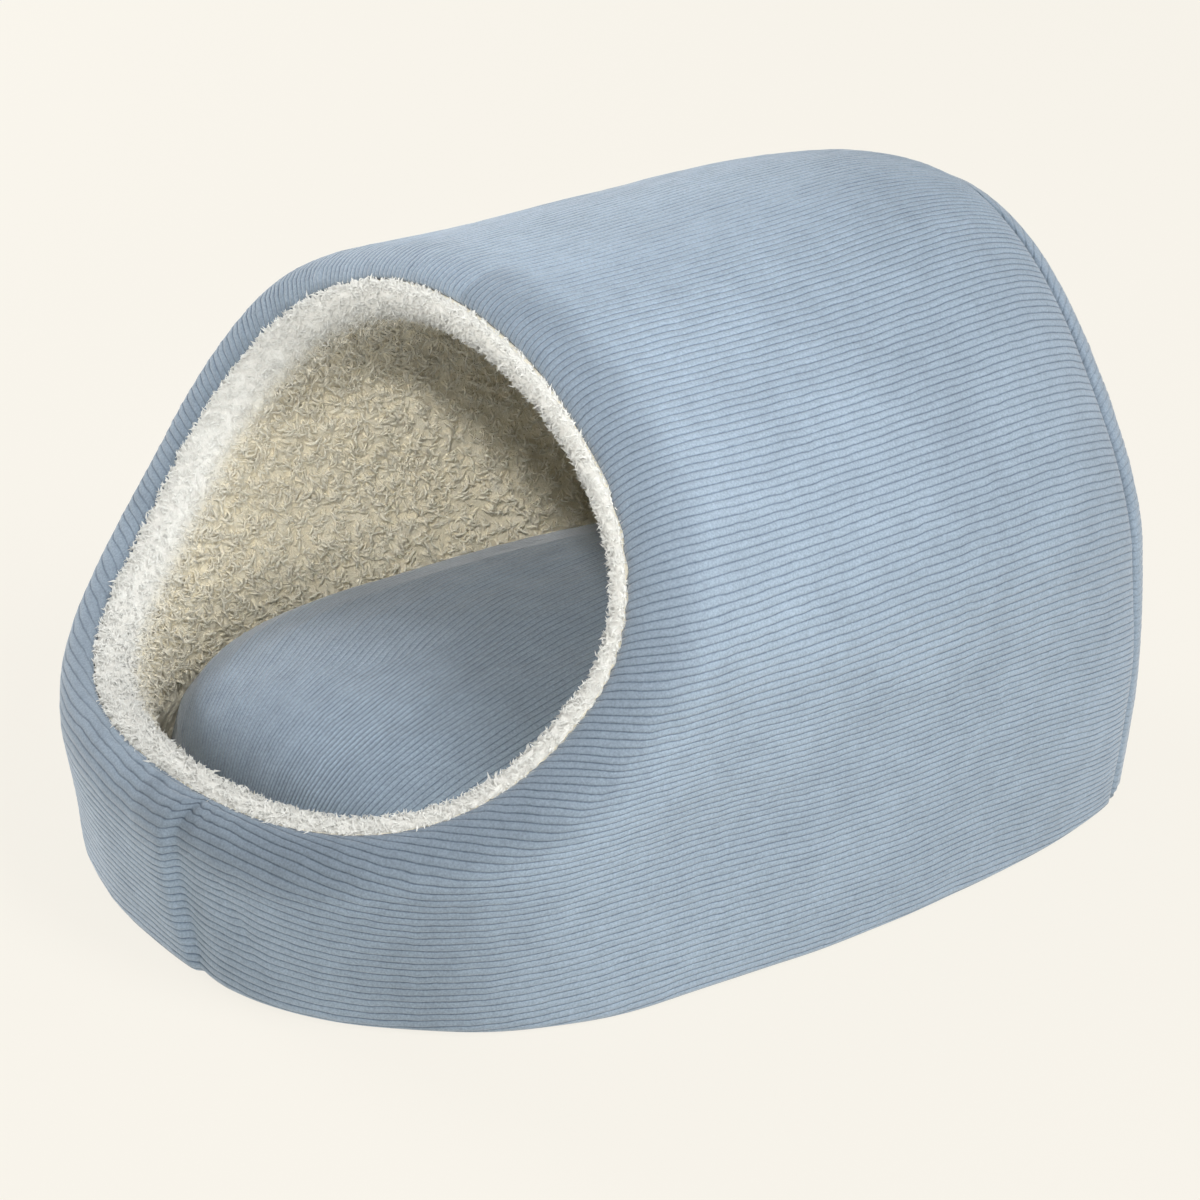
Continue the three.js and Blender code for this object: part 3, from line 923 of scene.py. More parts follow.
def corduroy_material(name, cloth, shade=1.0):
    """Cotton corduroy, a cut-pile weave: broad soft wales 4 mm apart with thin, broken, darker
    grooves, matt with a soft sheen where the brushed pile catches the light."""
    material, tree = new_material(name)
    place = add_node(tree, "TexCoord", {}, {}, "Object")
    weave = add_node(tree, "UVMap", {"uv_map": "weave"}, {}, "UV")
    wales = add_node(tree, "SeparateXYZ", {}, {"Vector": weave}, "Y")
    calm, painted_shade = (
        add_node(tree, "Attribute", {"attribute_name": key}, {}, "Fac")
        for key in ("calm", "painted_shade")
    )
    stretched, beaded = (
        add_node(tree, "Mapping", {}, {"Vector": weave, "Scale": scale})
        for scale in (BROKEN_SCALE, BEADS_SCALE)
    )
    wander, broken, beads, pile, patch, brushed = (
        add_node(tree, "TexNoise", {}, {"Vector": at, "Scale": scale, "Detail": detail, **ROUGH})
        for at, scale, detail in (
            (place, 1 / 0.011, 2.0),
            (stretched, 1.0, 2.0),
            (beaded, 1.0, 2.0),
            (place, 1 / 0.0011, 3.0),
            (place, 1 / 0.012, 2.0),
            (place, 1 / 0.07, 2.0),
        )
    )
    # How near the groove is, as a share of the wales' pitch, and the groove's uneven edge.
    moved = add_node(tree, "Math", {"operation": "MULTIPLY_ADD"}, {0: wander, 1: 0.16, 2: wales})
    centred = add_node(tree, "Math", {"operation": "SUBTRACT"}, {0: moved, 1: 0.08})
    near = add_node(tree, "Math", {"operation": "PINGPONG"}, {0: centred, 1: 0.5})
    edge = add_node(tree, "Math", {"operation": "MULTIPLY_ADD"}, {0: broken, 1: 0.17, 2: 0.05})
    groove_ends = {"From Min": 0.02, "From Max": edge, "To Min": 1.0, "To Max": 0.0}
    groove = add_node(tree, "MapRange", SOFT_RANGE, {"Value": near, **groove_ends})
    # Sewing flattens the pile, and beads of pile cover part of the groove.
    sewn = add_node(tree, "Math", {"operation": "MULTIPLY_ADD"}, {0: calm, 1: -0.6, 2: 0.95})
    bare = add_node(tree, "Math", {"operation": "ADD"}, {0: beads, 1: 0.42})
    depth = add_node(tree, "Math", {"operation": "MULTIPLY"}, {0: sewn, 1: bare})
    strength = add_node(tree, "Math", {"operation": "MULTIPLY"}, {0: groove, 1: depth})
    # Grooves darker than the wales: partly the bare ground's colour, partly painted shade in the
    # grooves.
    light = tuple(shade * c for c in cloth.corduroy) + (1.0,)
    dark = tuple(shade * c for c in cloth.groove) + (1.0,)
    colour = add_node(tree, "Mix", BLEND, {"Factor": strength, 6: light, 7: dark}, 2)
    # Painted shade darkens the cloth beside the rim and on the nose's right, and its fibres and
    # patches differ a little.
    shaded = add_node(tree, "Math", {"operation": "MULTIPLY_ADD"}, {0: painted_shade, 1: -0.3, 2: 1.0})
    colour = add_node(tree, "Mix", TINT, {"Factor": 1.0, 6: colour, 7: shaded}, 2)
    for value, low, high in ((pile, 0.84, 1.15), (brushed, 0.94, 1.06), (patch, 0.96, 1.04)):
        ends = {"From Min": 0.25, "From Max": 0.75, "To Min": low, "To Max": high}
        tone = add_node(tree, "MapRange", SOFT_RANGE, {"Value": value, **ends})
        colour = add_node(tree, "Mix", TINT, {"Factor": 1.0, 6: colour, 7: tone}, 2)
    ridge = add_node(tree, "MapRange", SOFT_RANGE, {"Value": near, "From Max": 0.2})
    height = add_node(tree, "Math", {"operation": "MULTIPLY_ADD"}, {0: pile, 1: 0.5, 2: ridge})
    bump = {"Height": height, "Strength": 0.55, "Distance": 0.0006}
    finish_cloth(tree, colour, bump, 0.94, 0.35)
    return material


def fleece_material(cloth):
    """Sherpa fleece, a knitted polyester pile tumbled into curls: cream locks, matt and soft, the
    cream partly their own tone and partly painted warm bounce light, whiter on the turned-out
    edge, and a warmer, darker ground between them that is painted shade."""
    material, tree = new_material("sherpa_fleece")
    place = add_node(tree, "TexCoord", {}, {}, "Object")
    pile, white = (
        add_node(tree, "Attribute", {"attribute_name": key}, {}, "Fac")
        for key in ("pile", "white")
    )
    curls, fibres = (
        add_node(tree, "TexNoise", {}, {"Vector": place, "Scale": scale, **more, **ROUGH})
        for scale, more in (
            (1 / 0.003, {"Detail": 4.0, "Distortion": 1.4}),
            (1 / 0.0009, {"Detail": 2.0}),
        )
    )
    uneven = add_node(tree, "Math", {"operation": "SUBTRACT"}, {0: curls, 1: 0.5})
    height = add_node(tree, "Math", {"operation": "MULTIPLY_ADD"}, {0: uneven, 1: 0.6, 2: pile})
    # The locks' tips, and the ground between them, whose darker, warmer colour is painted shade.
    tips, ground = (
        add_node(tree, "Mix", BLEND, {"Factor": white, 6: (*inner, 1.0), 7: (*rim, 1.0)}, 2)
        for inner, rim in (
            (cloth.fleece_inner, cloth.fleece),
            (cloth.fleece_depth_shade, cloth.fleece_root_shade),
        )
    )
    # Low in the pile the colour turns to the ground's: painted shade in the hollows.
    ends = {"From Min": 0.15, "From Max": 0.85}
    raised = add_node(tree, "MapRange", SOFT_RANGE, {"Value": height, **ends})
    colour = add_node(tree, "Mix", BLEND, {"Factor": raised, 6: ground, 7: tips}, 2)
    ends = {"From Min": 0.3, "From Max": 0.7, "To Min": 0.95, "To Max": 1.05}
    tone = add_node(tree, "MapRange", SOFT_RANGE, {"Value": fibres, **ends})
    colour = add_node(tree, "Mix", TINT, {"Factor": 1.0, 6: colour, 7: tone}, 2)
    fluff = add_node(tree, "Math", {"operation": "MULTIPLY_ADD"}, {0: fibres, 1: 0.3, 2: curls})
    strength = add_node(tree, "Math", {"operation": "MULTIPLY_ADD"}, {0: white, 1: -0.3, 2: 0.5})
    bump = {"Height": fluff, "Strength": strength, "Distance": 0.0016}
    finish_cloth(tree, colour, bump, 1.0, 0.25)
    return material


def base_material(cloth):
    """Plain woven polyester, the usual cloth under such a bed: a fine even thread pattern, drawn
    at 1.2 mm, about twice the real thread spacing, so that it shows."""
    material, tree = new_material("woven_base_cloth")
    place = add_node(tree, "TexCoord", {}, {}, "Object")
    threads = [
        add_node(
            tree,
            "TexWave",
            {"bands_direction": direction},
            {"Vector": place, "Scale": 260.0, "Distortion": 0.4},
            "Fac",
        )
        for direction in ("X", "Y")
    ]
    weave = add_node(tree, "Math", {"operation": "MAXIMUM"}, dict(enumerate(threads)))
    dark = tuple(0.8 * c for c in cloth.groove) + (1.0,)
    light = tuple(0.86 * c for c in cloth.corduroy) + (1.0,)
    colour = add_node(tree, "Mix", BLEND, {"Factor": weave, 6: dark, 7: light}, 2)
    bump = {"Height": weave, "Strength": 0.4, "Distance": 0.0003}
    finish_cloth(tree, colour, bump, 0.9, 0.1)
    return material


# The shell.


def shell_columns():
    """Places along the wales: path lengths from the front tip, "around" at each, and how deep
    the cloth turns in there at the back edge."""
    around = np.linspace(0, 1, SAMPLES)
    length = path_lengths(outer_point(np.maximum(around, 1e-9), np.full(SAMPLES, LEG_SHARE)))
    _, _, spare = rolled(np.array([0.0]), EDGE_RADIUS, EDGE_RADIUS)
    end = length[-1] + spare
    front_end = np.interp(FRONT_SHARE, around, length) + EDGE_SPAN
    spans = (
        (0.0, CREASE_SPAN[0], FRONT_STEP),
        (CREASE_SPAN[0], CREASE_SPAN[1], CREASE_STEP),
        (CREASE_SPAN[1], front_end, FRONT_STEP),
        (front_end, end - EDGE_SPAN, BACK_STEP),
        (end - EDGE_SPAN, end, EDGE_STEP),
    )
    parts = [
        np.linspace(low, high, max(1, round((high - low) / step)), endpoint=False)
        for low, high, step in spans
    ]
    path = np.concatenate([*parts, [end]])
    inward, depth, _ = rolled(end - path, EDGE_RADIUS, EDGE_RADIUS)
    return path, np.interp(length[-1] - inward, length, around), depth


def shell_rows(pitch, along):
    """Places across the wales: the number of each row's wale, and at each place along it the
    path up the cloth, "up" and the depth."""
    up = np.linspace(0, 1, SAMPLES)
    height, width = cross_section(up)
    length = path_lengths(np.stack([WIDTH / 2 * width, height], -1))
    _, _, spare = rolled(np.array([0.0]), EDGE_RADIUS, EDGE_RADIUS)
    heights, wales = np.array(WALES).T
    top = heights[-1]
    wales = wales * WALES_PITCH / pitch
    number = wale_rows(-2, round(wales[-1]))
    level = np.interp(number, wales * round(wales[-1]) / wales[-1], heights)
    moved = level[:, None] + drift(along, level)
    moved += waver(along[None], number[:, None]) * smoothstep(top - level, 0, 20)[:, None]
    moved = np.where(level[:, None] < top - 0.1, moved * length[-1] / top, length[-1])
    path = np.clip(moved + spare, 0, length[-1] + spare)
    inward, depth, _ = rolled(path, EDGE_RADIUS, EDGE_RADIUS)
    return number, path, np.interp(inward, length, up), depth


def rim_distances(points, around, up):
    """Signed distance of surface points from the rim, positive on the shell, with the rim's
    outward direction and the direction from the rim into the shell."""
    t = np.linspace(0, 1, 301)
    rim_around, rim_up = rim_place(t)
    rim = outer_point(np.maximum(rim_around, 1e-9), rim_up)
    normal = outward_at(np.maximum(rim_around, 1e-6), rim_up)
    tangent = unit(np.gradient(rim, axis=0))
    tangent[[0, -1]] = unit(tangent[[0, -1]] * (1, 0, 0) + (0, 1e-6, 0))
    into = unit(np.cross(tangent, normal))
    index, distance = nearest(rim, points.reshape(-1, 3))
    index, distance = index.reshape(around.shape), distance.reshape(around.shape)
    limit = np.interp(around, rim_around, rim_up)
    on_shell = (up < limit) | (around > rim_around[-1])
    return np.where(on_shell, distance, -distance), normal[index], into[index]


class BED_OT_shell(bpy.types.Operator):
    """Makes the padded corduroy shell: side walls, nose, roof and rolled rim"""

    bl_idname = "bed.shell"
    bl_label = "Shell"

    def execute(self, context):
        cloth = context.scene.bed_cloth
        path, around, back_depth = shell_columns()
        number, height, up_grid, foot_depth = shell_rows(cloth.wale_pitch / MM, path)
        around_grid = np.maximum(around, 1e-9) + 0 * up_grid
        depth = foot_depth + back_depth[None]
        surface = outer_point(around_grid, up_grid)
        normal = outward_at(around_grid, up_grid)
        distance, rim_normal, into = rim_distances(surface, around_grid, up_grid)
        _, _, spare = rolled(np.array([0.0]), ROLL_WIDTH, RIM_RADIUS)
        to_end = distance + spare
        inward, sink, _ = rolled(np.maximum(to_end, -TURNED_UNDER), ROLL_WIDTH, RIM_RADIUS)
        rolling = (inward - distance)[..., None] * into - sink[..., None] * rim_normal
        base = surface + np.where((distance < ROLL_WIDTH)[..., None], rolling, 0)
        base -= depth[..., None] * normal
        mesh, at = unit_grid(len(path) - 1, len(number) - 1, copies=2)
        both = []
        for side in (1, -1):
            signed = side * around_grid
            fade = smoothstep(distance, 0, DENT_FADE)
            mirror = np.array([side, 1, 1])
            points = base * mirror
            bulge = swell(distance, signed, up_grid) * smoothstep(to_end, -1.0, 12.0)
            moved = bulge - fade * dent_depth(signed, up_grid)
            moved += crease_lift(signed, up_grid, distance) * smoothstep(to_end, 0, 8)
            points += moved[..., None] * normal * mirror
            soft = 0.7 * space_noise(points, 42.0, 1) * fade
            cover = smoothstep(to_end, -2.0, 9.0) * smoothstep(height, 2.0, 8.0)
            cover *= smoothstep(path[-1] - path, 4.0, 14.0)[None]
            relief = wale_relief(
                side * path[None] + 0 * up_grid,
                number[:, None] + 0 * up_grid,
                cloth.wale_height / MM,
            )
            raised = grid_normals(points) * side
            points += (soft + cover * relief)[..., None] * raised
            points[..., 2] = np.maximum(0, points[..., 2])
            both.append(points)
        both = np.stack(both)
        for middle in (both[:, -1], both[:, :, 0]):
            middle[:] = middle.mean(0) * (0, 1, 1)
        places = (at[:, 1], at[:, 0])
        set_points(mesh, both[(at[:, 2], *places)])
        sign = np.where(at[:, 2] == 0, 1, -1)
        set_weave(mesh, sign * path[at[:, 0]] * MM, number[at[:, 1]])
        set_values(mesh, "calm", 1 - smoothstep(to_end, -2.0, 11.0)[places])
        # Painted shade: darker beside the rim, less so on the left, and in a band on the nose's
        # right.
        painted_shade = smoothstep(distance, SHADE_REACH, SHADE_FULL)[places]
        *band, share = SHADE_FRONT
        front = share * hill(sign * around_grid[places], *band)
        set_values(mesh, "painted_shade", np.maximum(painted_shade * np.where(sign > 0, 1.0, SHADE_LEFT), front))
        beyond = (to_end < -TURNED_UNDER)[places]
        made = bmesh.new()
        made.from_mesh(mesh)
        made.verts.ensure_lookup_table()
        gone = [f for f in made.faces if all(beyond[v.index] for v in f.verts)]
        bmesh.ops.delete(made, geom=gone, context="FACES")
        middle = [v for v in made.verts if abs(v.co.x) < 1e-5]
        bmesh.ops.remove_doubles(made, verts=middle, dist=2e-5)
        foot = [v for v in made.verts if v.co.z < 1e-6]
        bmesh.ops.remove_doubles(made, verts=foot, dist=1e-5)
        outside = boundary(made)
        made.from_mesh(hidden_side())
        inside = boundary(made) - outside
        weld_to_nearest(made, outside, inside)
        piece = add_piece(
            "shell",
            closed(made, mesh),
            corduroy_material("cotton_corduroy", cloth),
            "corduroy",
            "cover",
        )
        return {"FINISHED"}


def hidden_side():
    """The shell's inner side, under the lining: a coarse tube from the rim to the far edge."""
    lines = WallLines(HIDDEN_SLICES)
    reach = lines.reach(WALL, 0.0, INNER_BACK_Y)
    angle = np.linspace(0, np.pi / 2, 4)
    start = INNER_START - RIM_RADIUS * np.cos(angle)
    shares = np.linspace(0, 1, HIDDEN_ROWS + 1)[1:]
    run = INNER_START + shares * (reach[:, None] - INNER_START)
    distances = np.concatenate([np.tile(start, (HIDDEN_SLICES, 1)), run], 1)
    roll = RIM_RADIUS + (WALL - RIM_RADIUS) * np.sin(angle)
    depths = np.concatenate([roll, np.full(HIDDEN_ROWS, WALL)])
    points = lines.at(distances, np.broadcast_to(depths, distances.shape))
    mesh, at = unit_grid(HIDDEN_SLICES, points.shape[1] - 1)
    set_points(mesh, points[at[:, 0] % HIDDEN_SLICES, at[:, 1]])
    made = bmesh.new()
    made.from_mesh(mesh)
    bmesh.ops.remove_doubles(made, verts=made.verts, dist=1e-6)
    made.to_mesh(mesh)
    made.free()
    return mesh


def weld_to_nearest(made, loose, targets):
    """Joins each loose edge vertex to the nearest target, out of sight."""
    loose, targets = list(loose), list(targets)
    index, _ = nearest([v.co for v in targets], [v.co for v in loose])
    bmesh.ops.weld_verts(made, targetmap={v: targets[i] for v, i in zip(loose, index)})


# The back panel, the base and the cushion.


def arch_width(x, z, heights):
    """Half the width of an arch at each height."""
    order = np.argsort(z)
    return np.interp(heights, z[order], x[order])


class BED_OT_back(bpy.types.Operator):
    """Makes the padded corduroy back panel"""

    bl_idname = "bed.back"
    bl_label = "Back panel"

    def execute(self, context):
        cloth = context.scene.bed_cloth
        up = np.linspace(0, 1, 401)
        edge = outer_point(np.ones(401), up)
        outward = outward_at(np.ones(401), up)
        outward[:, 1] = 0
        outward = unit(outward)
        settled = SKIN_GAP + dent_depth(np.ones(401), up)[:, None]
        outline = (edge - settled * outward)[:, [0, 2]]
        top = outline[-1, 1]
        wales = round(top / (cloth.wale_pitch / MM))
        share = wale_rows(0, wales) / wales
        rows = len(share) - 1
        across = np.sin(np.linspace(-np.pi / 2, np.pi / 2, 57))
        across = 0.7 * across + 0.3 * np.linspace(-1, 1, 57)
        height = np.minimum(top * share, top - 0.01)
        width = arch_width(outline[:, 0], outline[:, 1], height)
        x, z = across[None] * width[:, None], height[:, None] + 0 * across[None]
        ring = np.concatenate([outline, outline[::-1] * (-1, 1)])
        foot = np.stack([np.linspace(-1, 1, 121)[1:-1] * outline[0, 0], np.zeros(119)], -1)
        ring = np.concatenate([ring, foot])
        ring = np.stack([ring[:, 0], 0 * ring[:, 0], ring[:, 1]], -1)
        flat = np.stack([x, 0 * x, z], -1)
        rim_point = ring[nearest(ring, flat.reshape(-1, 3))[0].reshape(x.shape)]
        distance = np.linalg.norm(flat - rim_point, axis=-1)
        centre = np.array([0, 0, BACK_MIDDLE])
        inward = np.where((distance > 1.5)[..., None], flat - rim_point, centre - rim_point)
        inward = unit(inward)
        table = np.array(BACK_EDGE)
        edge_end, edge_height = table[-1]
        lengths = path_lengths(table)
        along = distance * lengths[-1] / edge_end
        inset = np.where(distance < edge_end, np.interp(along, lengths, table[:, 0]), distance)
        rising = np.exp(-(distance - edge_end) / BACK_CROWN_REACH)
        crown = BACK_CROWN - (BACK_CROWN - edge_height) * rising
        out = np.where(distance < edge_end, np.interp(along, lengths, table[:, 1]), crown)
        points = rim_point + inset[..., None] * inward
        points[..., 1] = SEAM_Y + out
        points[..., 2] = np.maximum(0, points[..., 2])
        cover = smoothstep(distance, 5.0, 14.0)
        number = share[:, None] * wales + 0 * x
        relief = wale_relief(x + 900, number, cloth.wale_height / MM) * cover
        points[..., 1] += relief + 1.2 * space_noise(points, 60.0, 4) * cover
        mesh, at = unit_grid(56, rows)
        set_points(mesh, points[at[:, 1], at[:, 0]])
        set_weave(mesh, x[at[:, 1], at[:, 0]] * MM, number[at[:, 1], at[:, 0]])
        set_values(mesh, "calm", 1 - smoothstep(distance, 6.0, 15.0)[at[:, 1], at[:, 0]])
        made = bmesh.new()
        made.from_mesh(mesh)
        bmesh.ops.remove_doubles(made, verts=made.verts, dist=2e-5)
        rim = [e for e in made.edges if e.is_boundary]
        turned = bmesh.ops.extrude_edge_only(made, edges=rim)["geom"]
        inner = [v for v in turned if isinstance(v, bmesh.types.BMVert)]
        for vert in inner:
            towards = Vector((0, 0, BACK_MIDDLE * MM)) - vert.co
            towards.y = 0
            vert.co += towards.normalized() * (WALL - EDGE_RADIUS) * MM
            vert.co.y = (INNER_BACK_Y + 0.4) * MM
            vert.co.z = max(0, vert.co.z)
        bmesh.ops.remove_doubles(made, verts=inner, dist=0.006)
        bmesh.ops.holes_fill(made, edges=[e for e in made.edges if e.is_boundary])
        piece = add_piece(
            "back_pad",
            closed(made, mesh),
            corduroy_material("cotton_corduroy", cloth),
            "corduroy",
            "back_panel",
        )
        return {"FINISHED"}


class BED_OT_base(bpy.types.Operator):
    """Makes the flat padded base"""

    bl_idname = "bed.base"
    bl_label = "Base"

    def execute(self, context):
        cloth = context.scene.bed_cloth
        lines = WallLines(120)
        reach = lines.reach(WALL + SKIN_GAP, 0.0, LINING_BACK_Y)
        depth = np.full((120, 1), WALL + SKIN_GAP)
        edge = lines.at(reach[:, None], depth)[:, 0]
        edge = edge[lines.t <= CORNER + 0.01]
        made = bmesh.new()
        ring = bmesh.ops.create_circle(made, segments=len(edge), radius=1.0, cap_ends=True)
        ring = sorted(ring["verts"], key=lambda v: math.atan2(v.co.x, -v.co.y))
        order = sorted(edge, key=lambda p: math.atan2(p[0], -p[1]))
        for vert, point in zip(ring, order):
            vert.co = Vector((point[0], point[1], 0)) * MM
        raised = bmesh.ops.extrude_face_region(made, geom=made.faces[:])["geom"]
        top = [v for v in raised if isinstance(v, bmesh.types.BMVert)]
        bmesh.ops.translate(made, verts=top, vec=(0, 0, BASE_THICKNESS * MM))
        edges = [e for e in made.edges if abs(e.verts[0].co.z - e.verts[1].co.z) < 1e-6]
        bmesh.ops.bevel(
            made,
            geom=edges,
            offset=2.5 * MM,
            offset_type="OFFSET",
            affect="EDGES",
            segments=3,
            profile=0.5,
            material=-1,
        )
        piece = add_piece(
            "base_pad",
            closed(made, bpy.data.meshes.new("base_pad")),
            base_material(cloth),
            "base_cloth",
            "base_panel",
        )
        return {"FINISHED"}


def cushion_points(across, along, under=False):
    """The cushion's upper surface, or its flat underside, at cloth shares from -1 to 1 across
    and along, and how far each point is from the crown line to the underside's edge."""
    is_back = along > 0
    power = np.where(is_back, CUSHION_BACK_POWER, CUSHION_FRONT_POWER)
    pull = 1 - 2 ** (-2 / power)
    x = across * np.sqrt(1 - pull * along**2)
    y = along * np.sqrt(1 - pull * across**2)
    low, high = np.full(x.shape, 1e-6), np.full(x.shape, 1.3)
    for _ in range(40):
        reach = (low + high) / 2
        stretch = CUSHION_SPINE + (1 - CUSHION_SPINE) * reach
        outside = np.abs(x / reach) ** power + np.abs(y / stretch) ** power > 1
        low, high = np.where(outside, reach, low), np.where(outside, high, reach)
    edge_x, edge_y = x / reach, y / (CUSHION_SPINE + (1 - CUSHION_SPINE) * reach)
    table = np.array(CUSHION_SECTION)
    half_width = CUSHION_WIDTH / 2
    lengths = path_lengths(table * (half_width, CUSHION_THICKNESS))
    path = np.minimum(reach, 1) * lengths[-1]
    out = np.interp(path, lengths, table[:, 0])
    height = np.interp(path, lengths, table[:, 1])
    if under:
        out, height = table[-1, 0] * np.minimum(reach, 1), 0 * reach
    widest = CUSHION_FRONT_Y + CUSHION_FRONT_SHARE * (CUSHION_BACK_Y - CUSHION_FRONT_Y)
    extent = np.where(is_back, CUSHION_BACK_Y - widest, widest - CUSHION_FRONT_Y)
    narrow = np.where(is_back, 1 - CUSHION_NARROWING * edge_y**2, 1.0)
    outline_y = widest + edge_y * extent
    points = np.stack(
        [
            half_width * edge_x * narrow * out,
            outline_y * (CUSHION_SPINE + (1 - CUSHION_SPINE) * out),
            LINING_FLOOR + CUSHION_THICKNESS * height,
        ],
        -1,
    )
    return points, np.minimum(reach, 1)


def cushion_wales(pitch):
    """Where each wale's phases run over the cushion, as cloth shares, from the back edge."""
    half, length = CUSHION_CLOTH
    numbers = wale_rows(-round(1.95 * half / pitch), round(half / pitch))
    along = np.linspace(1, -1, CUSHION_ROWS + 1)
    lines = [numbers * pitch / half]
    for place in along[:-1]:
        left = smoothstep(np.clip(lines[-1], -1, 1), 0.6, -0.5)
        turn = WALE_TURN + WALE_TURN_FRONT * left * smoothstep(place, 0.3, -0.7)
        step = (along[0] - along[1]) * length / half
        lines.append(lines[-1] + step * np.tan(np.radians(turn)))
    across = np.clip(np.array(lines), -1, 1)
    return numbers[None] + 0 * across, across, along[:, None] + 0 * across


def puffed():
    """How far the filling pushes the cloth out, by the cloth solver, over a coarse grid."""
    columns, rows = PUFF_GRID
    mesh, at = unit_grid(columns, rows, 2)
    across, along = 2 * at[:, 0] / columns - 1, 2 * at[:, 1] / rows - 1
    top = cushion_points(across, along)[0]
    under = cushion_points(across, along, True)[0]
    start = np.where(at[:, 2:] == 0, top, under)
    set_points(mesh, start)
    made = bmesh.new()
    made.from_mesh(mesh)
    bmesh.ops.remove_doubles(made, verts=made.verts, dist=1e-5)
    mesh = closed(made, mesh)
    rest = get_points(mesh)
    pad = bpy.data.objects.new("puff", mesh)
    scene = bpy.context.scene
    scene.collection.objects.link(pad)
    held = pad.vertex_groups.new(name="held")
    held.add(np.flatnonzero(rest[:, 2] < LINING_FLOOR + 0.5).tolist(), 1.0, "REPLACE")
    solver = pad.modifiers.new("Cloth", "CLOTH")
    solver.settings.quality = 5
    solver.settings.use_pressure = True
    solver.settings.uniform_pressure_force = 4.0
    solver.settings.shrink_min = -0.02
    solver.settings.bending_stiffness = 2.0
    solver.settings.vertex_group_mass = "held"
    solver.settings.effector_weights.gravity = 0.0
    solver.point_cache.frame_start = 1
    solver.point_cache.frame_end = 20
    for frame in range(1, 21):
        scene.frame_set(frame)
    moved = get_points(pad.evaluated_get(bpy.context.evaluated_depsgraph_get()).data)
    bpy.data.objects.remove(pad)
    scene.frame_set(1)
    upper = at[:, 2] == 0
    found, _ = nearest(rest, start[upper])
    push = np.zeros((rows + 1, columns + 1, 3))
    push[at[upper, 1], at[upper, 0]] = moved[found] - rest[found]
    length = np.linalg.norm(push, axis=-1, keepdims=True)
    push *= np.minimum(1, PUFF_CAP / np.maximum(length, 1e-9))
    for _ in range(2):
        wide = np.pad(push, ((1, 1), (1, 1), (0, 0)), "edge")
        near = [wide[i : i + rows + 1, j : j + columns + 1] for i in range(3) for j in range(3)]
        push = sum(near) / 9
    return push


def between(values, across, along):
    """The values of a grid at cloth shares between its points."""
    rows, columns = values.shape[0] - 1, values.shape[1] - 1
    x, y = (across + 1) / 2 * columns, (along + 1) / 2 * rows
    column = np.minimum(np.floor(x).astype(int), columns - 1)
    row = np.minimum(np.floor(y).astype(int), rows - 1)
    x, y = (x - column)[..., None], (y - row)[..., None]
    low = values[row, column] * (1 - x) + values[row, column + 1] * x
    high = values[row + 1, column] * (1 - x) + values[row + 1, column + 1] * x
    return low * (1 - y) + high * y


class BED_OT_cushion(bpy.types.Operator):
    """Makes the loose corduroy cushion"""

    bl_idname = "bed.cushion"
    bl_label = "Cushion"

    def execute(self, context):
        cloth = context.scene.bed_cloth
        number, across, along = cushion_wales(CUSHION_STRETCH * cloth.wale_pitch / MM)
        points, reach = cushion_points(across, along)
        seat = np.array([0, CUSHION_FRONT_Y + 200, LINING_FLOOR])
        points = seat + PUFF_START * (points - seat) + between(puffed(), across, along)
        fade = smoothstep(1 - reach, 0.0, 0.12)
        for x, y, wide, long, deep in HOLLOWS:
            apart = ((across - x) / wide) ** 2 + ((along - y) / long) ** 2
            points[..., 2] -= deep * fade * np.exp(-apart)
        deep, spacing = PLEATS
        pleats = deep * np.cos(2 * np.pi * along * CUSHION_CLOTH[1] / spacing) * (across < 0)
        pleats *= smoothstep(reach, 0.5, 0.75) * hill(along, *PLEATS_AT)
        relief = wale_relief(along * CUSHION_CLOTH[1] + 2000, number, cloth.wale_height / MM)
        relief += pleats
        points += (relief * fade)[..., None] * grid_normals(points)
        points[..., 2] = np.maximum(LINING_FLOOR, points[..., 2])
        mesh, at = unit_grid(number.shape[1] - 1, CUSHION_ROWS)
        places = (at[:, 1], at[:, 0])
        set_points(mesh, points[places])
        set_weave(mesh, along[places] * CUSHION_CLOTH[1] * MM, number[places])
        made = bmesh.new()
        made.from_mesh(mesh)
        bmesh.ops.remove_doubles(made, verts=made.verts, dist=1e-6)
        rim = [e for e in made.edges if e.is_boundary]
        turned = bmesh.ops.extrude_edge_only(made, edges=rim)["geom"]
        inner = [v for v in turned if isinstance(v, bmesh.types.BMVert)]
        bmesh.ops.scale(made, vec=(0.9, 0.9, 1), verts=inner)
        bmesh.ops.remove_doubles(made, verts=inner, dist=0.006)
        bmesh.ops.holes_fill(made, edges=[e for e in made.edges if e.is_boundary])
        # The cushion's corduroy is the shell's cloth, darkened as painted shade.
        piece = add_piece(
            "pillow",
            closed(made, mesh),
            corduroy_material("cotton_corduroy_pad_painted_shade", cloth, CUSHION_PAINTED_SHADE),
            "cushion_corduroy",
            "cushion",
        )
        return {"FINISHED"}


# The fleece.


def fleece_relief(points, seed):
    """How far the curly pile stands out, in millimetres: soft lumps with curls on them."""
    lumps = space_noise(points, LUMPS[0], seed)
    curls = cell_noise(points, CURLS[0], seed)
    tufts = space_noise(points, TUFTS[0], seed + 1)
    return LUMPS[1] * lumps + CURLS[1] * (curls - 0.5) + TUFTS[1] * tufts


def pile_of(relief):
    """The fleece's "pile", from 0 in its ground to 1 at its tips, from how far it stands out."""
    return np.clip((relief + 2.2) / 5.5, 0, 1)


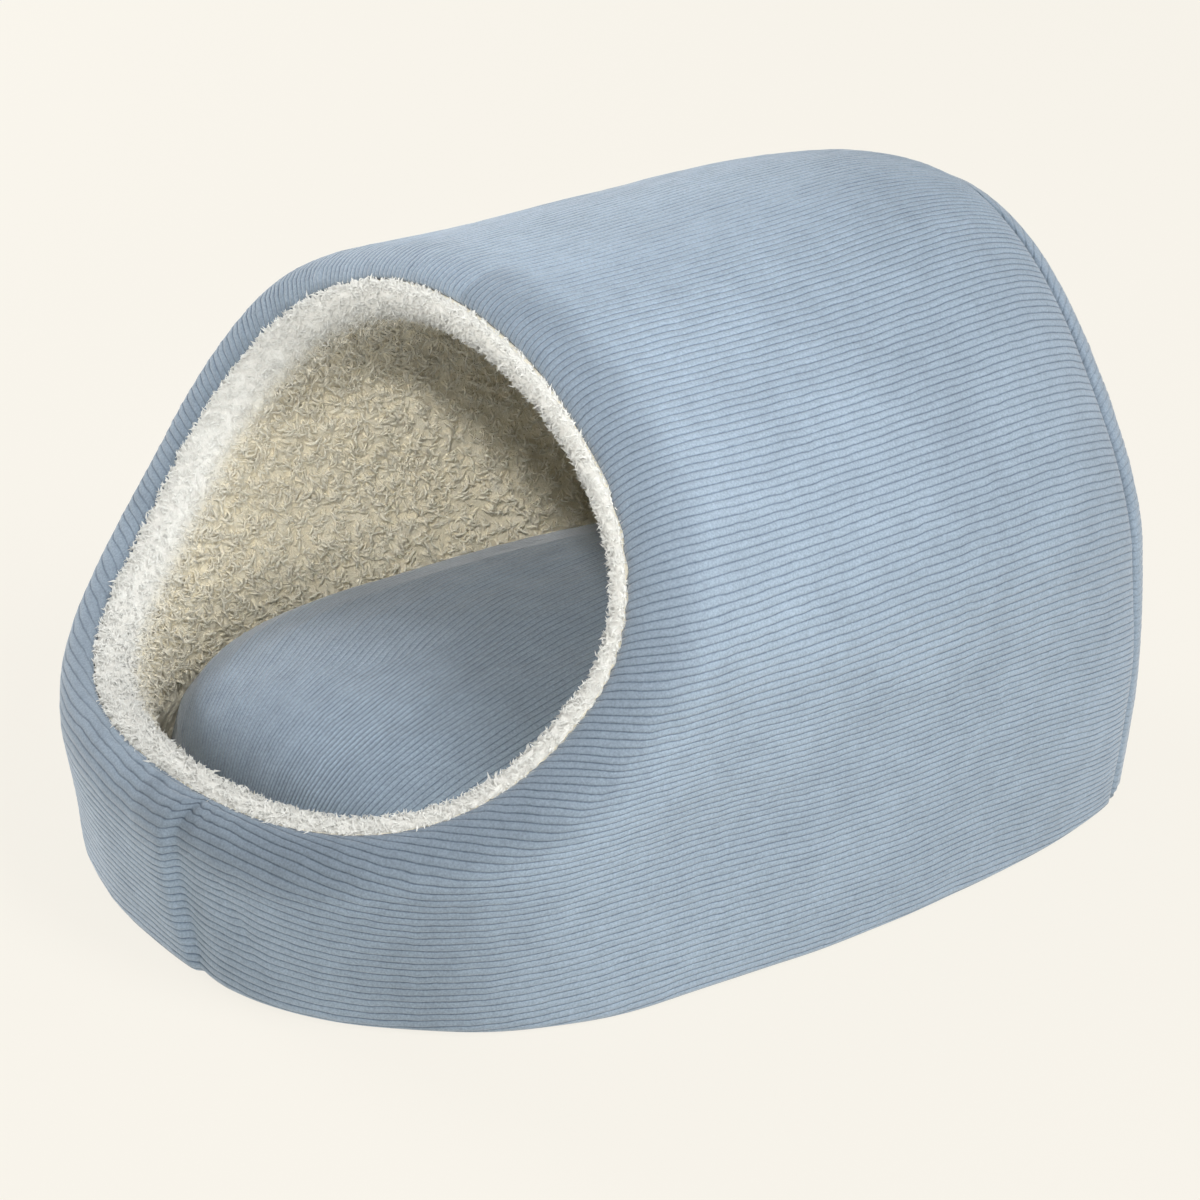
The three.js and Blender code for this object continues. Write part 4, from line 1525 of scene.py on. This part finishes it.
class BED_OT_lining(bpy.types.Operator):
    """Makes the curly fleece lining and its turned-out edge"""

    bl_idname = "bed.lining"
    bl_label = "Lining"

    def execute(self, context):
        cloth = context.scene.bed_cloth
        material = fleece_material(cloth)
        lines = WallLines(FLEECE_SLICES)
        reach = lines.reach(LINING_FACE, LINING_FLOOR, LINING_BACK_Y)
        rim = np.linspace(0, 1, TRIM_ROWS + 1)[:-1]
        table = np.array(TRIM)
        length = path_lengths(table)
        over = np.stack([np.interp(rim * length[-1], length, side) for side in table.T], -1)
        over[1:-1] = (over[:-2] + 2 * over[1:-1] + over[2:]) / 4
        shares = np.linspace(0, 1, FLEECE_ROWS)
        behind = np.linspace(1, 0, BEHIND_ROWS)
        under = np.linspace(np.pi / 2, 0, UNDER_ROWS + 1)[1:]
        below = np.stack(
            [
                INNER_START - RIM_SEAM_DEPTH * np.cos(under),
                RIM_SEAM_DEPTH + (LINING_DEPTH - RIM_SEAM_DEPTH) * np.sin(under),
            ],
            -1,
        )
        span = reach[:, None] - INNER_START
        count = (FLEECE_SLICES, 1)
        distances = np.concatenate(
            [
                np.tile(over[:, 0], count),
                INNER_START + shares * span,
                INNER_START + behind * span,
                np.tile(below[:, 0], count),
                np.tile([0.0], count),
            ],
            1,
        )
        depths = np.concatenate(
            [
                over[:, 1],
                np.full(FLEECE_ROWS, LINING_FACE + 0.6),
                np.full(BEHIND_ROWS, LINING_DEPTH),
                below[:, 1],
                [RIM_SEAM_DEPTH],
            ]
        )
        points = lines.at(distances, np.tile(depths, count))
        points[..., 1] = np.minimum(points[..., 1], LINING_BACK_Y)
        points[..., 2] = np.maximum(points[..., 2], LINING_FLOOR)
        total = points.shape[1]
        shown = TRIM_ROWS + FLEECE_ROWS
        relief = fleece_relief(points[:, :shown], 2)
        calm = np.concatenate([0.3 + 0.5 * rim, np.ones(FLEECE_ROWS - 3), [0.6, 0.3, 0.0]])
        calm[:2] = (0.0, 0.2)
        normal = -grid_normals(points, True, True)
        points[:, :shown] += (relief * calm)[..., None] * normal[:, :shown]
        # Low places of the fleece take the ground's darker colour: painted shade in its hollows.
        pile = np.full((FLEECE_SLICES, total), 0.8)
        pile[:, :shown] = pile_of(relief)
        mesh, at = unit_grid(FLEECE_SLICES, total)
        slices, places = at[:, 0] % FLEECE_SLICES, at[:, 1] % total
        set_points(mesh, points[slices, places])
        set_values(mesh, "pile", pile[slices, places])
        white = np.tile(smoothstep(np.arange(total), *WHITE_ROWS), count)
        set_values(mesh, "white", white[slices, places])
        made = bmesh.new()
        made.from_mesh(mesh)
        bmesh.ops.remove_doubles(made, verts=made.verts, dist=1e-7)
        lining = add_piece("fleece_lining", closed(made, mesh), material, "fleece", "lining")
        locks = locks_on_lining(points, normal, white, material, cloth)
        return {"FINISHED"}


def lock_template():
    """One lock of pile: a thin pointed tube bent over, rooted at the origin."""
    made = bmesh.new()
    ring = bmesh.ops.create_circle(made, segments=3, radius=LOCK_RADIUS)
    bmesh.ops.spin(
        made,
        geom=ring["verts"] + made.edges[:],
        cent=(HOOK_RADIUS, 0, 0),
        axis=(0, 1, 0),
        angle=HOOK_ANGLE,
        steps=2,
        use_merge=False,
    )
    for vert in made.verts:
        angle = min(HOOK_ANGLE, math.atan2(vert.co.z, HOOK_RADIUS - vert.co.x))
        centre = Vector((HOOK_RADIUS * (1 - math.cos(angle)), 0, HOOK_RADIUS * math.sin(angle)))
        vert.co = centre + (vert.co - centre) * (1 - max(0, angle / HOOK_ANGLE) ** 2)
    bmesh.ops.remove_doubles(made, verts=made.verts, dist=0.01)
    bmesh.ops.holes_fill(made, edges=[e for e in made.edges if e.is_boundary])
    bmesh.ops.recalc_face_normals(made, faces=made.faces)
    bmesh.ops.triangulate(made, faces=made.faces)
    mesh = bpy.data.meshes.new("lock")
    made.to_mesh(mesh)
    made.free()
    return mesh


def repeated(name, template, places, turns, sizes):
    """A mesh of a template's copies, each at a place, turned by a matrix and sized."""
    points = get_points(template) * MM
    copies = np.einsum("nij,vj->nvi", turns, points) * sizes[:, None, None] + places[:, None]
    corner = np.zeros(len(template.loops), np.int32)
    template.loops.foreach_get("vertex_index", corner)
    every = corner.reshape(-1, 3)[None] + (np.arange(len(places)) * len(points))[:, None, None]
    mesh = bpy.data.meshes.new(name)
    mesh.from_pydata(copies.reshape(-1, 3).tolist(), [], every.reshape(-1, 3).tolist())
    return mesh


def scatter_locks(name, points, normal, weight, white, zone, seed, material, cloth):
    """Locks over a fleece's grid, as many as the weights ask for, drawn together into curls and
    shaded softly, like fine pile, by normals turned towards the ground's."""
    locks, size, upright, curl = zone
    random = np.random.default_rng(seed)
    template = lock_template()
    chance = (weight / weight.sum()).ravel()
    chosen = random.choice(len(chance), locks, p=chance)
    first, second = np.unravel_index(chosen, weight.shape)
    place = points[first, second]
    for index in ((first - 1, second), (first, np.maximum(second - 1, 0))):
        place = place + random.uniform(0, 1, (locks, 1)) * (points[index] - points[first, second])
    # A lock leans to its curl's middle, a little astray and down, and at the edge out over it.
    outward = normal[first, second]
    pull = np.array([noise.voronoi(p)[1][0] for p in place / curl]) - place / curl
    pull -= outward * (pull * outward).sum(-1, keepdims=True)
    stray = random.normal(size=(locks, 3))
    over = unit(points[first, second] - points[first, np.minimum(second + 2, len(points[0]) - 1)])
    over *= (white[first, second] * np.clip(1 - second / 7, 0, 1))[:, None]
    forward = unit(upright * outward + 0.9 * pull + 0.25 * stray + 0.8 * over + (0, 0, -0.1))
    side = 1.2 * pull + 0.5 * np.cross(outward, stray) - 0.2 * outward
    third = unit(np.cross(forward, side))
    turns = np.stack([np.cross(third, forward), third, forward], -1)
    sizes = size * cloth.lock_length * random.uniform(0.65, 1.15, locks)
    sizes[random.uniform(size=locks) < 0.02] *= 1.4
    mesh = repeated(name, template, (place - LOCK_ROOT * outward) * MM, turns, sizes)
    # A lock's colour is darker at its root and away from its curl's middle: painted shade between
    # the curls.
    length = get_points(template)[:, 2] / get_points(template)[:, 2].max()
    near = 1 - np.linalg.norm(pull, axis=-1)
    tone = np.clip(0.25 + 0.75 * near + random.uniform(-0.15, 0.15, locks), 0, 1)
    set_values(mesh, "pile", 0.25 + 0.75 * np.clip(length, 0, 1)[None] * tone[:, None])
    set_values(mesh, "white", np.repeat(white[first, second], len(length)))
    piece = add_piece(name, mesh, material, "fleece")
    own = np.zeros(3 * len(mesh.vertices), np.float32)
    mesh.vertex_normals.foreach_get("vector", own)
    share = np.repeat(1.2 - 0.6 * white[first, second], len(length))[:, None]
    soft = unit(np.repeat(outward, len(length), 0) + share * own.reshape(-1, 3))
    mesh.normals_split_custom_set_from_vertices(soft.tolist())
    return piece


def locks_on_lining(points, normal, white, material, cloth):
    """The locks on the rim and on both sides of the inside, fewer far in and none under the
    cushion."""
    last = TRIM_ROWS + FLEECE_ROWS
    area = np.cross(differences(points, 0, True), differences(points, 1, True))
    area = np.linalg.norm(area, axis=-1)[:, : last - 1]
    shown = points[:, : last - 1]
    weight = area * (shown[..., 2] > LOCKS_ABOVE)
    rows = np.arange(weight.shape[1])[None]
    left = shown[..., 0] < 0
    inside = weight * (rows >= TRIM_ROWS - 3) * np.interp(rows, (TRIM_ROWS, last), (1.5, 0.6))
    zones = (
        ("rim_locks", weight * (rows < TRIM_ROWS) * (1 + (rows < 4)), RIM_LOCKS),
        ("left_locks", inside * left, LEFT_LOCKS),
        ("right_locks", inside * ~left, RIGHT_LOCKS),
    )
    return [
        scatter_locks(name, shown, normal, share, white, zone, seed, material, cloth)
        for seed, (name, share, zone) in enumerate(zones)
    ]


class BED_OT_lining_back(bpy.types.Operator):
    """Makes the fleece against the back panel"""

    bl_idname = "bed.lining_back"
    bl_label = "Lining at the back"

    def execute(self, context):
        cloth = context.scene.bed_cloth
        up = np.linspace(up_at_height(np.array(LINING_FLOOR)), 1, 201)
        low, high = np.full(201, FRONT_SHARE), np.ones(201)
        for _ in range(30):
            middle = (low + high) / 2
            edge = outer_point(middle, up) - LINING_BACK_DEPTH * outward_at(middle, up)
            near = edge[:, 1] < LINING_BACK_Y
            low, high = np.where(near, middle, low), np.where(near, high, middle)
        top = edge[-1, 2]
        rows = 92
        height = LINING_FLOOR + (top - 0.05 - LINING_FLOOR) * np.linspace(0, 1, rows + 1)
        width = arch_width(edge[:, 0], edge[:, 2], height)
        across = np.linspace(-1, 1, 93)
        x = across[None] * width[:, None]
        z = height[:, None] + 0 * x
        points = np.stack([x, np.full(x.shape, LINING_BACK_Y - FLEECE), z], -1)
        relief = fleece_relief(points, 7)
        calm = smoothstep(1 - np.abs(across), 0, 0.06)[None] * smoothstep(top - z, 0, 8)
        points[..., 1] -= (relief + 0.8) * calm
        points[..., 1] += 2 * (1 - calm)
        mesh, at = unit_grid(92, rows)
        set_points(mesh, points[at[:, 1], at[:, 0]])
        # Low places of the fleece take the ground's darker colour: painted shade in its hollows.
        set_values(mesh, "pile", pile_of(relief)[at[:, 1], at[:, 0]])
        set_values(mesh, "white", np.zeros(len(at)))
        made = bmesh.new()
        made.from_mesh(mesh)
        bmesh.ops.remove_doubles(made, verts=made.verts, dist=2e-5)
        rim = [e for e in made.edges if e.is_boundary]
        turned = bmesh.ops.extrude_edge_only(made, edges=rim)["geom"]
        inner = [v for v in turned if isinstance(v, bmesh.types.BMVert)]
        for vert in inner:
            vert.co.y = LINING_BACK_Y * MM
        bmesh.ops.holes_fill(made, edges=[e for e in made.edges if e.is_boundary])
        material = fleece_material(cloth)
        piece = add_piece("fleece_back", closed(made, mesh), material, "fleece", "lining_back")
        front = np.broadcast_to((0.0, -1.0, 0.0), points.shape)
        weight = width[:, None] * (points[..., 2] > BACK_LOCKS_ABOVE)
        weight = weight * (np.abs(across) < 0.97)[None]
        plain = np.zeros(x.shape)
        locks = scatter_locks(
            "back_locks", points, front, weight, plain, BACK_LOCKS, 9, material, cloth
        )
        return {"FINISHED"}


# The stage.

CAMERA_TARGET = (1.748, 16.77, 117.03)
CAMERA_AZIMUTH = 54.914
CAMERA_ELEVATION = 26.244
CAMERA_ROLL = 0.543
CAMERA_DISTANCE = 3503.2
CAMERA_LENS = 211.9

# The lights in metres: place and size of the wide soft ones, and the point that they face, and
# place and target of the narrow ones.
KEY_LIGHT = ((1.8, 0.48, 2.37), 1.4)
RIGHT_LIGHT = ((2.6, -0.6, 0.9), 1.4)
LEFT_LIGHT = ((-2.3, -0.6, 0.7), 1.0)
SOFT_TARGET = (0, 0, 0.12)
MOUTH_LIGHT = ((1.54, -1.34, 1.79), (-0.03, -0.02, 0.19))
INSIDE_LIGHT = ((0.5, -2.4, 1.0), (-0.02, 0.05, 0.25))
SPOT_ANGLE = 7.0


def floor_material(stage):
    """Matt white studio paint that glows a little, so that the floor stays even and pale with
    only the bed's own soft shadow on it."""
    material, tree = new_material("painted_floor")
    surface = {
        "Base Color": (*(0.12 * c for c in stage.floor), 1.0),
        "Roughness": 1.0,
        "Specular IOR Level": 0.0,
        "Emission Color": (*stage.floor, 1.0),
        "Emission Strength": 0.885,
    }
    shader = add_node(tree, "BsdfPrincipled", {}, surface)
    add_node(tree, "OutputMaterial", {}, {"Surface": shader})
    return material


class BED_OT_stage(bpy.types.Operator):
    """Makes the pale floor, the soft lights and the camera"""

    bl_idname = "bed.stage"
    bl_label = "Stage"

    def execute(self, context):
        stage = context.scene.bed_stage
        scene = context.scene
        made = bmesh.new()
        bmesh.ops.create_grid(made, x_segments=8, y_segments=8, size=12.0)
        mesh = bpy.data.meshes.new("studio_floor")
        made.to_mesh(mesh)
        made.free()
        floor = bpy.data.objects.new("studio_floor", mesh)
        scene.collection.objects.link(floor)
        mesh.materials.append(floor_material(stage))
        world = bpy.data.worlds.new("studio_world")
        world.use_nodes = True
        background = world.node_tree.nodes["Background"]
        background.inputs["Color"].default_value = (1.0, 0.99, 0.97, 1.0)
        background.inputs["Strength"].default_value = stage.fill
        scene.world = world
        add_light("key_light", *KEY_LIGHT, stage.key_power)
        add_light("right_light", *RIGHT_LIGHT, stage.right_power)
        add_light("left_light", *LEFT_LIGHT, stage.left_power)
        add_spot("mouth_light", *MOUTH_LIGHT, stage.mouth_power)
        add_spot("inside_light", *INSIDE_LIGHT, stage.inside_power)
        camera = bpy.data.cameras.new("camera")
        camera.lens = CAMERA_LENS
        camera.sensor_width = 36.0
        camera.clip_end = 50.0
        seat = bpy.data.objects.new("camera", camera)
        scene.collection.objects.link(seat)
        azimuth, elevation = math.radians(CAMERA_AZIMUTH), math.radians(CAMERA_ELEVATION)
        back = Vector(
            (
                math.sin(azimuth) * math.cos(elevation),
                -math.cos(azimuth) * math.cos(elevation),
                math.sin(elevation),
            )
        )
        right = Vector((math.cos(azimuth), math.sin(azimuth), 0))
        above = back.cross(right)
        roll = math.radians(CAMERA_ROLL)
        turned_right = right * math.cos(roll) + above * math.sin(roll)
        turned_up = above * math.cos(roll) - right * math.sin(roll)
        turn = Matrix((turned_right, turned_up, back)).transposed().to_4x4()
        place = (Vector(CAMERA_TARGET) + back * CAMERA_DISTANCE) * MM
        seat.matrix_world = Matrix.Translation(place) @ turn
        scene.camera = seat
        scene.view_settings.view_transform = "Standard"
        return {"FINISHED"}


def add_light(name, place, size, power):
    """A wide soft light."""
    light = bpy.data.lights.new(name, "AREA")
    light.shape = "DISK"
    light.size = size
    light.energy = power
    aim_light(name, light, place, SOFT_TARGET)


def add_spot(name, place, target, power):
    """A narrow light with soft shadows."""
    light = bpy.data.lights.new(name, "SPOT")
    light.spot_size = math.radians(SPOT_ANGLE)
    light.spot_blend = 0.7
    light.shadow_soft_size = 0.2
    light.energy = power
    aim_light(name, light, place, target)


def aim_light(name, light, place, target):
    """Puts a light at a place, facing a target."""
    lamp = bpy.data.objects.new(name, light)
    bpy.context.scene.collection.objects.link(lamp)
    lamp.location = place
    towards = Vector(target) - Vector(place)
    lamp.rotation_euler = towards.to_track_quat("-Z", "Y").to_euler()


class BED_PT_panel(bpy.types.Panel):
    """Lists the bed's pieces"""

    bl_idname = "BED_PT_panel"
    bl_label = "Cave bed"
    bl_space_type = "VIEW_3D"
    bl_region_type = "UI"
    bl_category = "Cave bed"

    def draw(self, context):
        for group in (context.scene.bed_cloth, context.scene.bed_stage):
            box = self.layout.box()
            for key in group.__annotations__:
                box.prop(group, key)
        for operator in OPERATORS:
            self.layout.operator(operator.bl_idname)


OPERATORS = (
    BED_OT_shell,
    BED_OT_back,
    BED_OT_base,
    BED_OT_lining,
    BED_OT_lining_back,
    BED_OT_cushion,
    BED_OT_stage,
)
CLASSES = (BedCloth, BedStage, *OPERATORS, BED_PT_panel)


def register():
    for cls in CLASSES:
        bpy.utils.register_class(cls)
    bpy.types.Scene.bed_cloth = bpy.props.PointerProperty(type=BedCloth)
    bpy.types.Scene.bed_stage = bpy.props.PointerProperty(type=BedStage)


def unregister():
    del bpy.types.Scene.bed_stage
    del bpy.types.Scene.bed_cloth
    for cls in reversed(CLASSES):
        bpy.utils.unregister_class(cls)


def main():
    """Builds the stage and every piece."""
    register()
    bpy.ops.bed.stage()
    bpy.ops.bed.shell()
    bpy.ops.bed.back()
    bpy.ops.bed.base()
    bpy.ops.bed.lining()
    bpy.ops.bed.lining_back()
    bpy.ops.bed.cushion()


if __name__ == "__main__":
    main()
